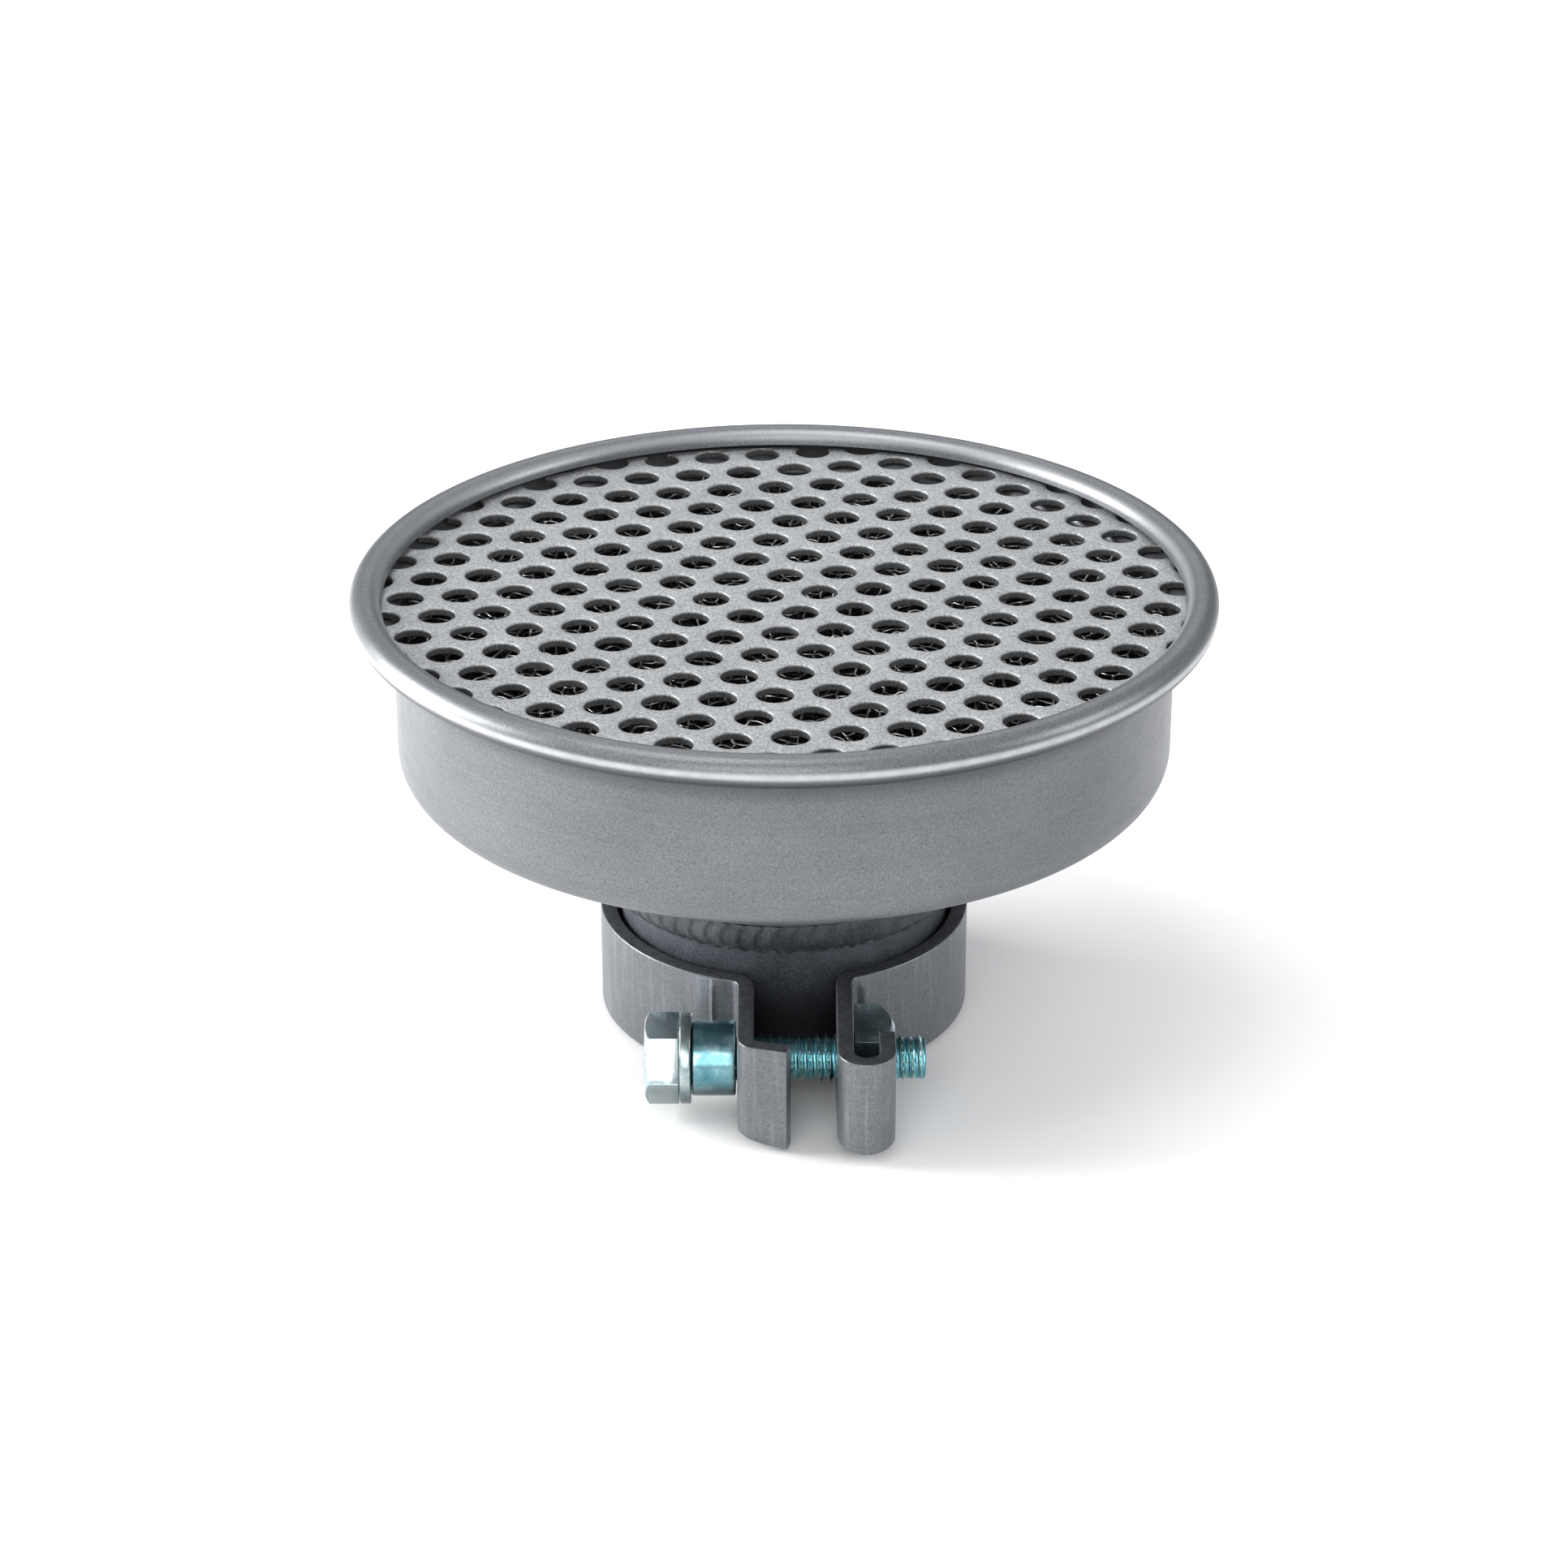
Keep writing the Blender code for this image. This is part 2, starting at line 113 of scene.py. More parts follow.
# Studio, in metres and watts: name, place, edge and power of each square light
LIGHTS = (("key", (-0.80, 0.12, 0.28), 0.5, 14.2), ("side", (0.9, -0.15, 0.45), 0.4, 3.5),
          ("back", (0.1, 0.9, 0.8), 0.7, 1.4), ("front", (-0.10, -0.9, 0.42), 0.7, 5.0),
          ("top", (-0.2, -0.1, 1.1), 0.6, 4.5))
LIGHTS_AIM = Vector((0, 0, 0.04))
FLOOR_HALF = 6.0
FLOOR_DROP = 0.2 * MM
CAMERA_PLACE = (0.0, -0.6415, 0.3502)
CAMERA_TILT = math.radians(64.17)
CAMERA_LENS = 97.8
CAMERA_SENSOR = 36.0


# ---------------------------------------------------------------- mesh helpers

def add_object(name, data):
    obj = bpy.data.objects.new(name, data)
    bpy.context.scene.collection.objects.link(obj)
    return obj


def new_piece(name, mesh, looks, body, node):
    """Put a mesh in the scene as a piece that rides on a body and stands for a CAD node."""
    obj = add_object(name, mesh)
    for look in looks:
        mesh.materials.append(look)
    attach(obj, body)
    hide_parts(node)
    return obj


def smoothed(mesh, sharp):
    """Smooth shading, but for edges sharper than an angle in degrees."""
    mesh.shade_smooth()
    mesh.set_sharp_from_angle(angle=math.radians(sharp))
    return mesh


def mesh_from(name, verts, faces, sharp=35):
    mesh = bpy.data.meshes.new(name)
    mesh.from_pydata([tuple(v) for v in verts], [], faces)
    mesh.validate()
    return smoothed(mesh, sharp)


def grid_faces(rows, columns, close_rows, close_columns):
    """Quads of a grid of points, row by row."""
    faces = []
    for i in range(rows if close_rows else rows - 1):
        for j in range(columns if close_columns else columns - 1):
            a = i * columns + j
            b = i * columns + (j + 1) % columns
            c = (i + 1) % rows * columns + (j + 1) % columns
            d = (i + 1) % rows * columns + j
            faces.append((a, b, c, d))
    return faces


def rod_faces(rows, columns):
    """Faces of a closed rod: a grid whose columns close, and a cap on each end."""
    ends = tuple(range(columns))[::-1], tuple(range((rows - 1) * columns, rows * columns))
    return grid_faces(rows, columns, False, True) + list(ends)


def arc(centre, radius, start, end, count):
    angles = np.linspace(start, end, count + 1)
    return [(centre[0] + radius * math.cos(a), centre[1] + radius * math.sin(a)) for a in angles]


def offset_path(points, distance):
    """The points moved sideways, to the left of the path's direction."""
    path = np.array(points, float)
    return path + distance * leftward(path)


def leftward(path):
    """Unit vectors to the left of a flat path, at each of its points."""
    ahead = np.array([path[min(i + 1, len(path) - 1)] - path[max(i - 1, 0)]
                      for i in range(len(path))])
    ahead /= np.linalg.norm(ahead, axis=1)[:, None]
    return np.column_stack([-ahead[:, 1], ahead[:, 0]])


def ring_section(inner, outer, low, high, edge):
    """Outline of a ring's section with rounded edges: (radius, height) in mm."""
    outline = []
    for x, z, start in ((outer - edge, low + edge, -math.pi / 2), (outer - edge, high - edge, 0.0),
                        (inner + edge, high - edge, math.pi / 2),
                        (inner + edge, low + edge, math.pi)):
        outline += arc((x, z), edge, start, start + math.pi / 2, 3)
    return outline


def resample(points, spacing):
    """Points at an even spacing along a polyline."""
    path = np.array(points, float)
    run = np.concatenate([[0], np.cumsum(np.linalg.norm(np.diff(path, axis=0), axis=1))])
    count = max(2, int(round(run[-1] / spacing)) + 1)
    at = np.linspace(0, run[-1], count)
    return np.column_stack([np.interp(at, run, path[:, k]) for k in range(path.shape[1])])


def revolve(name, profile, steps, change=None, sharp=35):
    """A closed (radius, height) outline in mm, turned about Z. change(r, z, angle) bends it."""
    outline = np.array(profile, float)
    angles = np.linspace(0, TAU, steps, endpoint=False)
    verts = []
    for angle in angles:
        r, z = outline[:, 0].copy(), outline[:, 1].copy()
        if change:
            r, z = change(r, z, angle)
        verts.append(np.column_stack([r * math.cos(angle), r * math.sin(angle), z]) * MM)
    faces = grid_faces(steps, len(outline), True, True)
    mesh = mesh_from(name, np.concatenate(verts), faces, sharp)
    face_outward(mesh)
    return mesh


def face_outward(mesh):
    """Turn the faces of a closed mesh outward."""
    shape = bmesh.new()
    shape.from_mesh(mesh)
    bmesh.ops.recalc_face_normals(shape, faces=shape.faces)
    if shape.calc_volume(signed=True) < 0:
        bmesh.ops.reverse_faces(shape, faces=shape.faces)
    shape.to_mesh(mesh)
    shape.free()


def applied(obj):
    """The mesh that an object's modifiers give. The object is removed."""
    scene_state = bpy.context.evaluated_depsgraph_get()
    made = bpy.data.meshes.new_from_object(obj.evaluated_get(scene_state))
    bpy.data.objects.remove(obj, do_unlink=True)
    return made


def boolean(mesh, other, operation):
    """The mesh combined with another, both closed, as a new mesh."""
    first, second = add_object("first", mesh), add_object("second", other)
    step = first.modifiers.new("step", "BOOLEAN")
    step.operation = operation
    step.solver = "MANIFOLD"
    step.object = second
    made = applied(first)
    made.materials.clear()
    bpy.data.objects.remove(second, do_unlink=True)
    return made


def bevelled(mesh, width, segments):
    """The mesh with its edges of 25 degrees or more rounded, to a width in mm."""
    obj = add_object("bevelled", mesh)
    edge = obj.modifiers.new("edge", "BEVEL")
    edge.width = width * MM
    edge.segments = segments
    edge.limit_method = "ANGLE"
    edge.angle_limit = math.radians(25)
    edge.use_clamp_overlap = True
    return smoothed(applied(obj), 35)


def weigh_normals(obj):
    """Flat faces keep their own normal, and the roundings beside them blend into it."""
    weigh = obj.modifiers.new("weigh", "WEIGHTED_NORMAL")
    weigh.keep_sharp = True


# ---------------------------------------------------------------- materials

class Look:
    """A node material with a few short calls for the patterns that it is built from."""

    def __init__(self, name, metallic, roughness):
        self.material = bpy.data.materials.new(name)
        self.material.use_nodes = True
        self.tree = self.material.node_tree
        self.shader = self.tree.nodes["Principled BSDF"]
        self.shader.inputs["Metallic"].default_value = metallic
        self.shader.inputs["Roughness"].default_value = roughness
        self.place = self.tree.nodes.new("ShaderNodeTexCoord").outputs["Object"]

    def link(self, source, target):
        self.tree.links.new(source, target)

    def stretched(self, scale):
        """Object coordinates, stretched."""
        mapping = self.tree.nodes.new("ShaderNodeMapping")
        mapping.inputs["Scale"].default_value = scale
        self.link(self.place, mapping.inputs["Vector"])
        return mapping.outputs["Vector"]

    def noise(self, size_mm, detail=2.0, rough=0.5, place=None):
        node = self.tree.nodes.new("ShaderNodeTexNoise")
        node.inputs["Scale"].default_value = 1000.0 / size_mm
        node.inputs["Detail"].default_value = detail
        node.inputs["Roughness"].default_value = rough
        self.link(place or self.place, node.inputs["Vector"])
        return node.outputs["Fac"]

    def between(self, value, low, high):
        """0 to 1 as a value goes from low to high."""
        node = self.tree.nodes.new("ShaderNodeMapRange")
        node.interpolation_type = "SMOOTHSTEP"
        node.inputs["From Min"].default_value = low
        node.inputs["From Max"].default_value = high
        self.link(value, node.inputs["Value"])
        return node.outputs["Result"]

    def height(self, low_mm, high_mm):
        """0 to 1 between two heights of the object."""
        split = self.tree.nodes.new("ShaderNodeSeparateXYZ")
        self.link(self.place, split.inputs["Vector"])
        return self.between(split.outputs["Z"], low_mm * MM, high_mm * MM)

    def away(self, low_mm, high_mm, axis="Z", through=(0.0, 0.0, 0.0)):
        """0 to 1 between two distances from an axis through a point."""
        flat = self.tree.nodes.new("ShaderNodeMapping")
        flat.inputs["Location"].default_value = tuple(-v for v in through)
        across = self.tree.nodes.new("ShaderNodeVectorMath")
        across.operation = "MULTIPLY"
        across.inputs[1].default_value = tuple(0.0 if name == axis else 1.0 for name in "XYZ")
        length = self.tree.nodes.new("ShaderNodeVectorMath")
        length.operation = "LENGTH"
        self.link(self.place, flat.inputs["Vector"])
        self.link(flat.outputs["Vector"], across.inputs[0])
        self.link(across.outputs["Vector"], length.inputs[0])
        return self.between(length.outputs["Value"], low_mm * MM, high_mm * MM)

    def tilt(self):
        """The surface normal's Z: 1 facing up, 0 sideways, -1 down."""
        split = self.tree.nodes.new("ShaderNodeSeparateXYZ")
        node = self.tree.nodes.new("ShaderNodeTexCoord")
        self.link(node.outputs["Normal"], split.inputs["Vector"])
        return split.outputs["Z"]

    def facing_sideways(self, low, high):
        """1 where the surface faces sideways, down to 0 where it faces up or down."""
        return self.inverse(self.between(self.maths("ABSOLUTE", self.tilt()), low, high))

    def facing_down(self, low, high):
        """0 to 1 as the surface turns from sideways to facing down."""
        return self.between(self.maths("MULTIPLY", self.tilt(), -1.0), low, high)

    def inverse(self, value):
        """1 minus a value."""
        return self.maths("SUBTRACT", 1.0, value)

    def times(self, *values):
        """The product of values."""
        product = values[0]
        for value in values[1:]:
            product = self.maths("MULTIPLY", product, value)
        return product

    def base(self):
        """What feeds the base colour so far."""
        return self.shader.inputs["Base Color"].links[0].from_socket

    def paint_over(self, share, colour):
        """Blend another colour over the base colour."""
        self.colour(self.blend(share, self.base(), colour))

    def tint(self, factor):
        """Multiply the base colour by a grey."""
        self.colour(self.blend(1.0, self.base(), factor, "MULTIPLY"))

    def cells(self, size_mm):
        """Cells of random colours."""
        node = self.tree.nodes.new("ShaderNodeTexVoronoi")
        node.inputs["Scale"].default_value = 1000.0 / size_mm
        self.link(self.place, node.inputs["Vector"])
        return node.outputs["Color"]

    def ramp(self, source, *stops):
        """A colour ramp: stops are (position, colour), a colour being a grey or (r, g, b)."""
        node = self.tree.nodes.new("ShaderNodeValToRGB")
        for index, (position, colour) in enumerate(stops):
            if index < 2:
                element = node.color_ramp.elements[index]
                element.position = position
            else:
                element = node.color_ramp.elements.new(position)
            rgb = colour if isinstance(colour, tuple) else (colour,) * 3
            element.color = (*rgb, 1.0)
        self.link(source, node.inputs["Fac"])
        return node.outputs["Color"]

    def blend(self, share, first, second, mode="MIX"):
        node = self.tree.nodes.new("ShaderNodeMix")
        node.data_type = "RGBA"
        node.blend_type = mode
        for socket, value in ((node.inputs["Factor"], share), (node.inputs["A"], first),
                              (node.inputs["B"], second)):
            self.feed(socket, value)
        return node.outputs["Result"]

    def maths(self, operation, first, second=0.5):
        node = self.tree.nodes.new("ShaderNodeMath")
        node.operation = operation
        self.feed(node.inputs[0], first)
        self.feed(node.inputs[1], second)
        return node.outputs[0]

    def feed(self, socket, value):
        """Give a socket a link, a colour or a number."""
        if isinstance(value, bpy.types.NodeSocket):
            self.link(value, socket)
        elif isinstance(value, tuple):
            socket.default_value = (*value, 1.0)
        else:
            socket.default_value = value

    def spread(self, source, low, high):
        """A 0 to 1 value spread over another range."""
        node = self.tree.nodes.new("ShaderNodeMapRange")
        node.inputs["To Min"].default_value = low
        node.inputs["To Max"].default_value = high
        self.link(source, node.inputs["Value"])
        return node.outputs["Result"]

    def colour(self, source):
        self.feed(self.shader.inputs["Base Color"], source)

    def roughness(self, source):
        self.feed(self.shader.inputs["Roughness"], source)

    def bump(self, *layers):
        """Bump layers, each (height, strength, distance in mm), one on top of another."""
        normal = None
        for height, strength, distance in layers:
            node = self.tree.nodes.new("ShaderNodeBump")
            node.inputs["Strength"].default_value = strength
            node.inputs["Distance"].default_value = distance * MM
            self.link(height, node.inputs["Height"])
            if normal:
                self.link(normal, node.inputs["Normal"])
            normal = node.outputs["Normal"]
        self.link(normal, self.shader.inputs["Normal"])


def silver_paint(name, tone, roughness, grain, flake_mm=0.30):
    """Metallic silver paint: fine flakes in a cloudy film."""
    look = Look(name, 0.55, roughness)
    flakes = look.noise(flake_mm, 3.0, 0.75)
    sparkle = look.ramp(flakes, (0.30, 1.0 - grain), (0.5, 1.0), (0.70, 1.0 + grain))
    cloud = look.spread(look.noise(16.0, 4.0), 0.84, 1.16)
    base = look.blend(1.0, tone, sparkle, "MULTIPLY")
    look.colour(look.blend(1.0, base, cloud, "MULTIPLY"))
    look.roughness(look.spread(look.noise(3.0, 4.0), roughness - 0.05, roughness + 0.07))
    return look


def pan_look():
    """The pan's paint: faint rings from spinning, painted highlights on the rim's outer edge and
    inner lip, and painted shade under the rim and on the wall below it.
    """
    look = silver_paint("pan_paint", (0.153, 0.160, 0.169), 0.38, 0.36)
    rings = look.noise(1.0, 3.0, 0.6, look.stretched((0.02, 0.02, 1.1)))
    look.tint(look.spread(rings, 0.86, 1.12))
    # Painted highlight: a bright band along the outer edge of the rim's curl, where it faces
    # sideways.
    painted_rim_highlight = look.times(look.away(69.7, 70.4), look.facing_sideways(0.04, 0.34),
                        look.spread(look.noise(2.5, 3.0), 0.5, 1.1), 0.9)
    look.paint_over(painted_rim_highlight, (0.56, 0.57, 0.58))
    # Painted highlight: a pale band along the rim's inner lip.
    lip = look.times(look.height(75.4, 76.6), look.inverse(look.away(66.3, 67.4)), 0.45)
    look.paint_over(lip, (0.50, 0.51, 0.52))
    # Painted shade on the downward-facing underside of the rim.
    painted_shade_under_rim = look.times(look.facing_down(0.14, 0.62), look.height(70.0, 71.0), 0.85)
    look.paint_over(painted_shade_under_rim, (0.02, 0.022, 0.026))
    shaded_wall = look.times(look.height(66.0, 70.6), look.facing_sideways(0.1, 0.3),
                             look.inverse(look.height(71.0, 71.5)), 0.7)
    look.paint_over(shaded_wall, (0.05, 0.052, 0.058))
    look.bump((look.noise(0.35, 3.0, 0.6), 0.30, 0.04), (look.noise(6.0, 2.0), 0.08, 0.15),
              (rings, 0.08, 0.05))
    return look.material


def cover_look():
    """The cover's paint: paler, with a coarse sandy grain, and painted shade down in its holes."""
    look = silver_paint("cover_paint", (0.345, 0.355, 0.362), 0.50, 0.50, flake_mm=0.44)
    # Painted shade: darker the lower the surface, down the hole walls and in the dip round each
    # hole.
    look.tint(look.spread(look.height(73.1, 73.72), 0.26, 1.0))
    look.bump((look.noise(0.35, 3.0, 0.6), 0.9, 0.04), (look.noise(6.0, 2.0), 0.08, 0.15))
    return look.material


def wire_look():
    """Bright drawn wire on top, painted dark with shade further down."""
    look = Look("packing_wire", 0.95, 0.3)
    upper_wire_tone = look.ramp(look.noise(5.0, 3.0), (0.3, (0.46, 0.46, 0.45)), (0.7, (0.82, 0.82, 0.81)))
    # Painted shade: the wire darkens to near black lower down in the packing.
    look.colour(look.blend(look.height(69.6, 71.2), (0.018, 0.014, 0.014), upper_wire_tone))
    look.roughness(look.spread(look.noise(0.8, 2.0), 0.22, 0.42))
    look.bump((look.noise(0.25, 2.0), 0.15, 0.02))
    return look.material


def zinc_sheet_look():
    """Dull zinc-coated sheet, with a faint spangle."""
    look = Look("zinc_sheet", 0.85, 0.42)
    spangle = look.cells(3.5)
    look.colour(look.ramp(spangle, (0.1, (0.36, 0.38, 0.39)), (0.9, (0.50, 0.52, 0.53))))
    look.roughness(look.spread(look.noise(4.0, 3.0), 0.34, 0.52))
    look.bump((look.noise(0.6, 3.0), 0.15, 0.04))
    return look.material


def neck_look():
    """Dark blue-grey scale with fine bright specks, and painted shade that darkens it to near black
    towards the bottom.
    """
    look = Look("neck_scale", 0.2, 0.55)
    specks = look.noise(0.24, 3.0, 0.8)
    cloud = look.noise(6.0, 4.0, 0.65)
    dusty = look.ramp(cloud, (0.3, (0.016, 0.019, 0.027)), (0.7, (0.050, 0.056, 0.068)))
    # Painted shade: the scale darkens to near black lower down the neck, and its specks thin out
    # there.
    scale_in_painted_shade = look.blend(look.height(11.0, 22.0), (0.0015, 0.002, 0.005), dusty)
    share = look.maths("MULTIPLY", look.ramp(specks, (0.50, 0.0), (0.72, 0.5)),
                       look.spread(look.height(8.0, 20.0), 0.08, 1.0))
    look.colour(look.blend(share, scale_in_painted_shade, (0.24, 0.27, 0.30)))
    look.roughness(look.spread(specks, 0.42, 0.7))
    look.bump((specks, 0.5, 0.08))
    return look.material


def weld_look():
    """Weld metal under a thin coat of paint."""
    look = Look("weld_metal", 0.55, 0.48)
    specks = look.noise(0.4, 3.0, 0.65)
    paint = look.ramp(look.noise(5.0, 3.0), (0.3, (0.034, 0.037, 0.044)),
                      (0.7, (0.082, 0.087, 0.096)))
    look.colour(look.blend(look.ramp(specks, (0.5, 0.0), (0.75, 0.4)), paint, (0.26, 0.28, 0.32)))
    flecks = look.ramp(look.noise(0.9, 2.0, 0.7), (0.54, 0.0), (0.60, 1.0))
    toe = look.inverse(look.height(22.9, 24.4))
    look.paint_over(look.times(flecks, toe, 0.7), (0.50, 0.54, 0.58))
    look.roughness(look.spread(specks, 0.36, 0.6))
    look.bump((specks, 0.7, 0.12), (look.noise(1.6, 3.0), 0.4, 0.3))
    return look.material


def band_look():
    """Satin steel strip with faint scratches along it."""
    look = silver_paint("band_satin", (0.143, 0.152, 0.163), 0.36, 0.34)
    scratches = look.noise(1.0, 4.0, 0.7, look.stretched((0.12, 0.12, 1.6)))
    look.tint(look.spread(scratches, 0.80, 1.20))
    streaks = look.noise(1.0, 3.0, 0.6, look.stretched((1.3, 0.35, 0.07)))
    look.paint_over(look.ramp(streaks, (0.52, 0.0), (0.72, 0.3)), (0.33, 0.34, 0.36))
    look.bump((look.noise(0.5, 3.0, 0.6), 0.2, 0.05), (scratches, 0.16, 0.05))
    return look.material


def band_edge_shade_look():
    """The strip's sheared edges: slightly torn, and painted dark as shade under the pan."""
    look = Look("band_edge", 0.45, 0.5)
    tear = look.noise(1.0, 3.0, 0.6, look.stretched((1.0, 1.0, 0.25)))
    look.colour(look.ramp(tear, (0.3, (0.035, 0.038, 0.044)), (0.75, (0.085, 0.09, 0.10))))
    look.roughness(look.spread(look.noise(0.7, 3.0), 0.42, 0.62))
    look.bump((tear, 0.3, 0.08))
    return look.material


def zinc_look(name, tones, roughness, patch_mm):
    """Bright zinc plate with blue and green tints in patches, and painted shade on faces turned
    down.
    """
    look = Look(name, 1.0, roughness)
    patches = look.noise(patch_mm, 3.0, 0.55)
    look.colour(look.ramp(patches, *zip((0.30, 0.48, 0.62, 0.78), tones)))
    look.roughness(look.spread(look.noise(1.4, 3.0), roughness - 0.06, roughness + 0.10))
    # Painted shade: faces turned down go dull and dark.
    look.paint_over(look.times(look.facing_down(0.10, 0.60), 0.75), (0.10, 0.12, 0.12))
    look.bump((look.noise(0.6, 3.0), 0.10, 0.04), (look.noise(4.0, 2.0), 0.10, 0.15))
    return look.material


def thread_look():
    """Blue-green passivated thread, pale cream at its crests, with painted shade in its roots."""
    look = Look("thread_zinc", 1.0, 0.2)
    axis = "X", (0.0, BOLT_Y, BOLT_Z)
    crest = look.away(3.45, 4.0, *axis)
    teal = look.ramp(look.noise(2.2, 3.0), (0.35, (0.26, 0.60, 0.66)), (0.65, (0.50, 0.80, 0.83)))
    # Painted shade: the flanks darken towards the roots of the thread.
    flank = look.blend(look.away(3.2, 3.6, *axis), (0.10, 0.30, 0.36), teal)
    look.colour(look.blend(crest, flank, (0.88, 0.84, 0.74)))
    look.roughness(look.spread(look.noise(0.8, 3.0), 0.14, 0.30))
    look.bump((look.noise(0.5, 3.0), 0.12, 0.03))
    return look.material


# ---------------------------------------------------------------- sheet metal and neck

def cone_height(radius):
    """Height of the pan floor's underside, in mm, at a radius in mm."""
    tangent_r = PAN_R - CORNER_R + CORNER_R * math.sin(CONE_ANGLE)
    tangent_z = CORNER_Z - CORNER_R * math.cos(CONE_ANGLE)
    return tangent_z - (tangent_r - radius) * math.tan(CONE_ANGLE)


def make_pan():
    """One sheet: lip, curl, sloping ledge, flare, wall, corner and cone."""
    half = SHEET / 2
    curl = arc(CURL_CENTRE, CURL_R - half, CURL_END, CURL_START, 40)
    lip = (curl[0][0] - 0.5 * math.sin(CURL_END), curl[0][1] + 0.5 * math.cos(CURL_END))
    flare_mid = FLARE_Z + half
    slope = -1 / math.tan(CURL_START)
    ledge_r = curl[-1][0] - (curl[-1][1] - flare_mid) / slope
    ledge = [(ledge_r + 0.5, flare_mid + 0.5 * slope), (ledge_r - 0.5, flare_mid)]
    flare = arc((PAN_R - half + FLARE_BEND_R, flare_mid - FLARE_BEND_R), FLARE_BEND_R,
                math.pi / 2, math.pi, 10)
    wall = [(PAN_R - half, z) for z in np.linspace(69.0, 51.0, 10)]
    corner = arc((PAN_R - CORNER_R, CORNER_Z), CORNER_R - half, 0.0, CONE_ANGLE - math.pi / 2, 12)
    mouth_r = MOUTH_R + half * math.sin(CONE_ANGLE)
    cone = [(r, cone_height(r) + half / math.cos(CONE_ANGLE))
            for r in np.linspace(corner[-1][0] - 3.0, mouth_r, 12)]
    line = np.array([lip, *curl, *ledge, *flare, *wall, *corner, *cone])
    lip_end = line[0] + (line[0] - line[1]) / np.linalg.norm(line[0] - line[1]) * half * 0.32
    outline = np.concatenate([offset_path(line, half), offset_path(line, -half)[::-1], [lip_end]])

    def spun(r, z, angle):
        """Spinning leaves the rim a few hundredths out of round and out of flat."""
        rim = np.clip((z - 70.0) / 5.0, 0.0, 1.0)
        r = r - rim * 0.03 * (1 + math.sin(3 * angle + 0.4) * math.cos(5 * angle))
        z = z + rim * 0.03 * math.sin(4 * angle + 1.0)
        return r, np.minimum(z, PAN_HIGH.z / MM)

    mesh = revolve("pan_shell", outline, 288, spun, sharp=50)
    new_piece("pan_shell", mesh, [pan_look()], "root", "housing_pan")


def grid_centres(pitch, reach_r, turn=0.0, shift=(0.0, 0.0)):
    """Centres of a triangular pattern, within a radius, in mm."""
    along = np.array([math.cos(turn), math.sin(turn)]) * pitch
    slanting = np.array([math.cos(turn + math.pi / 3), math.sin(turn + math.pi / 3)]) * pitch
    reach = int(reach_r / pitch * 1.3) + 2
    centres = []
    for i in range(-reach, reach + 1):
        for j in range(-reach, reach + 1):
            place = np.array(shift) + along * i + slanting * j
            if np.hypot(*place) < reach_r:
                centres.append(place)
    return centres


# Points along each side of a hole's cell
POINTS_PER_CELL_SIDE = 5


def perforated_mesh(name, low, high, plate_r, hole_r, pitch, turn, shift, roll, dip):
    """A round sheet whose holes have a rolled-over top edge and a soft dip round them.

    Six-sided cells, each with its hole, tile the sheet, which is then cut to its round outline.
    """
    count = 6 * POINTS_PER_CELL_SIDE
    angles = turn + np.arange(count) * TAU / count + math.pi / 6
    side = (angles - turn) % (math.pi / 3)
    side = np.where(side > math.pi / 6, side - math.pi / 3, side)
    cell_edge = pitch / 2 / np.cos(side)
    profile = [(0.15, low), (0.0, low + 0.15)]
    for swing in np.linspace(0, math.pi / 2, 5):
        profile.append((roll * (1 - math.cos(swing)), high - dip - roll * (1 - math.sin(swing))))
    profile += [(roll + 0.25, high - dip * 0.45), (roll + 0.6, high - dip * 0.1)]
    rings = [(hole_r + grow, z) for grow, z in profile]
    verts, faces = [], []
    for centre in grid_centres(pitch, plate_r + pitch * 0.75, turn, shift):
        start = len(verts)
        layers = [(cell_edge, low), *[(np.full(count, r), z) for r, z in rings], (cell_edge, high)]
        for radii, z in layers:
            for angle, radius in zip(angles, radii):
                verts.append((centre[0] + radius * math.cos(angle),
                              centre[1] + radius * math.sin(angle), z))
        for a, b, c, d in grid_faces(len(layers), count, False, True):
            faces.append((start + a, start + b, start + c, start + d))
    mesh = bpy.data.meshes.new(name)
    mesh.from_pydata([tuple(np.array(v) * MM) for v in verts], [], faces)
    shape = bmesh.new()
    shape.from_mesh(mesh)
    bmesh.ops.remove_doubles(shape, verts=shape.verts, dist=0.01 * MM)
    bmesh.ops.bridge_loops(shape, edges=[edge for edge in shape.edges if edge.is_boundary])
    bmesh.ops.recalc_face_normals(shape, faces=shape.faces)
    shape.to_mesh(mesh)
    shape.free()
    edge = 0.25
    blank = [(0.0, high + 1), (plate_r - edge, high + 1), (plate_r - edge, high),
             (plate_r, high - edge), (plate_r, low + edge), (plate_r - edge, low),
             (plate_r - edge, low - 1), (0.0, low - 1)]
    return smoothed(boolean(mesh, solid_of_revolution("blank", blank, 240), "INTERSECT"), 40)


def solid_of_revolution(name, profile, steps):
    """A solid turned about Z from an outline that starts and ends on the axis, in mm."""
    inner = profile[1:-1]
    verts = [(0.0, 0.0, profile[0][1] * MM), (0.0, 0.0, profile[-1][1] * MM)]
    for angle in np.linspace(0, TAU, steps, endpoint=False):
        verts += [(r * math.cos(angle) * MM, r * math.sin(angle) * MM, z * MM) for r, z in inner]
    width = len(inner)
    faces = []
    for i in range(steps):
        here, there = 2 + i * width, 2 + (i + 1) % steps * width
        faces.append((0, here, there))
        faces.append((1, there + width - 1, here + width - 1))
        for j in range(width - 1):
            faces.append((here + j, here + j + 1, there + j + 1, there + j))
    mesh = mesh_from(name, verts, faces)
    face_outward(mesh)
    return mesh


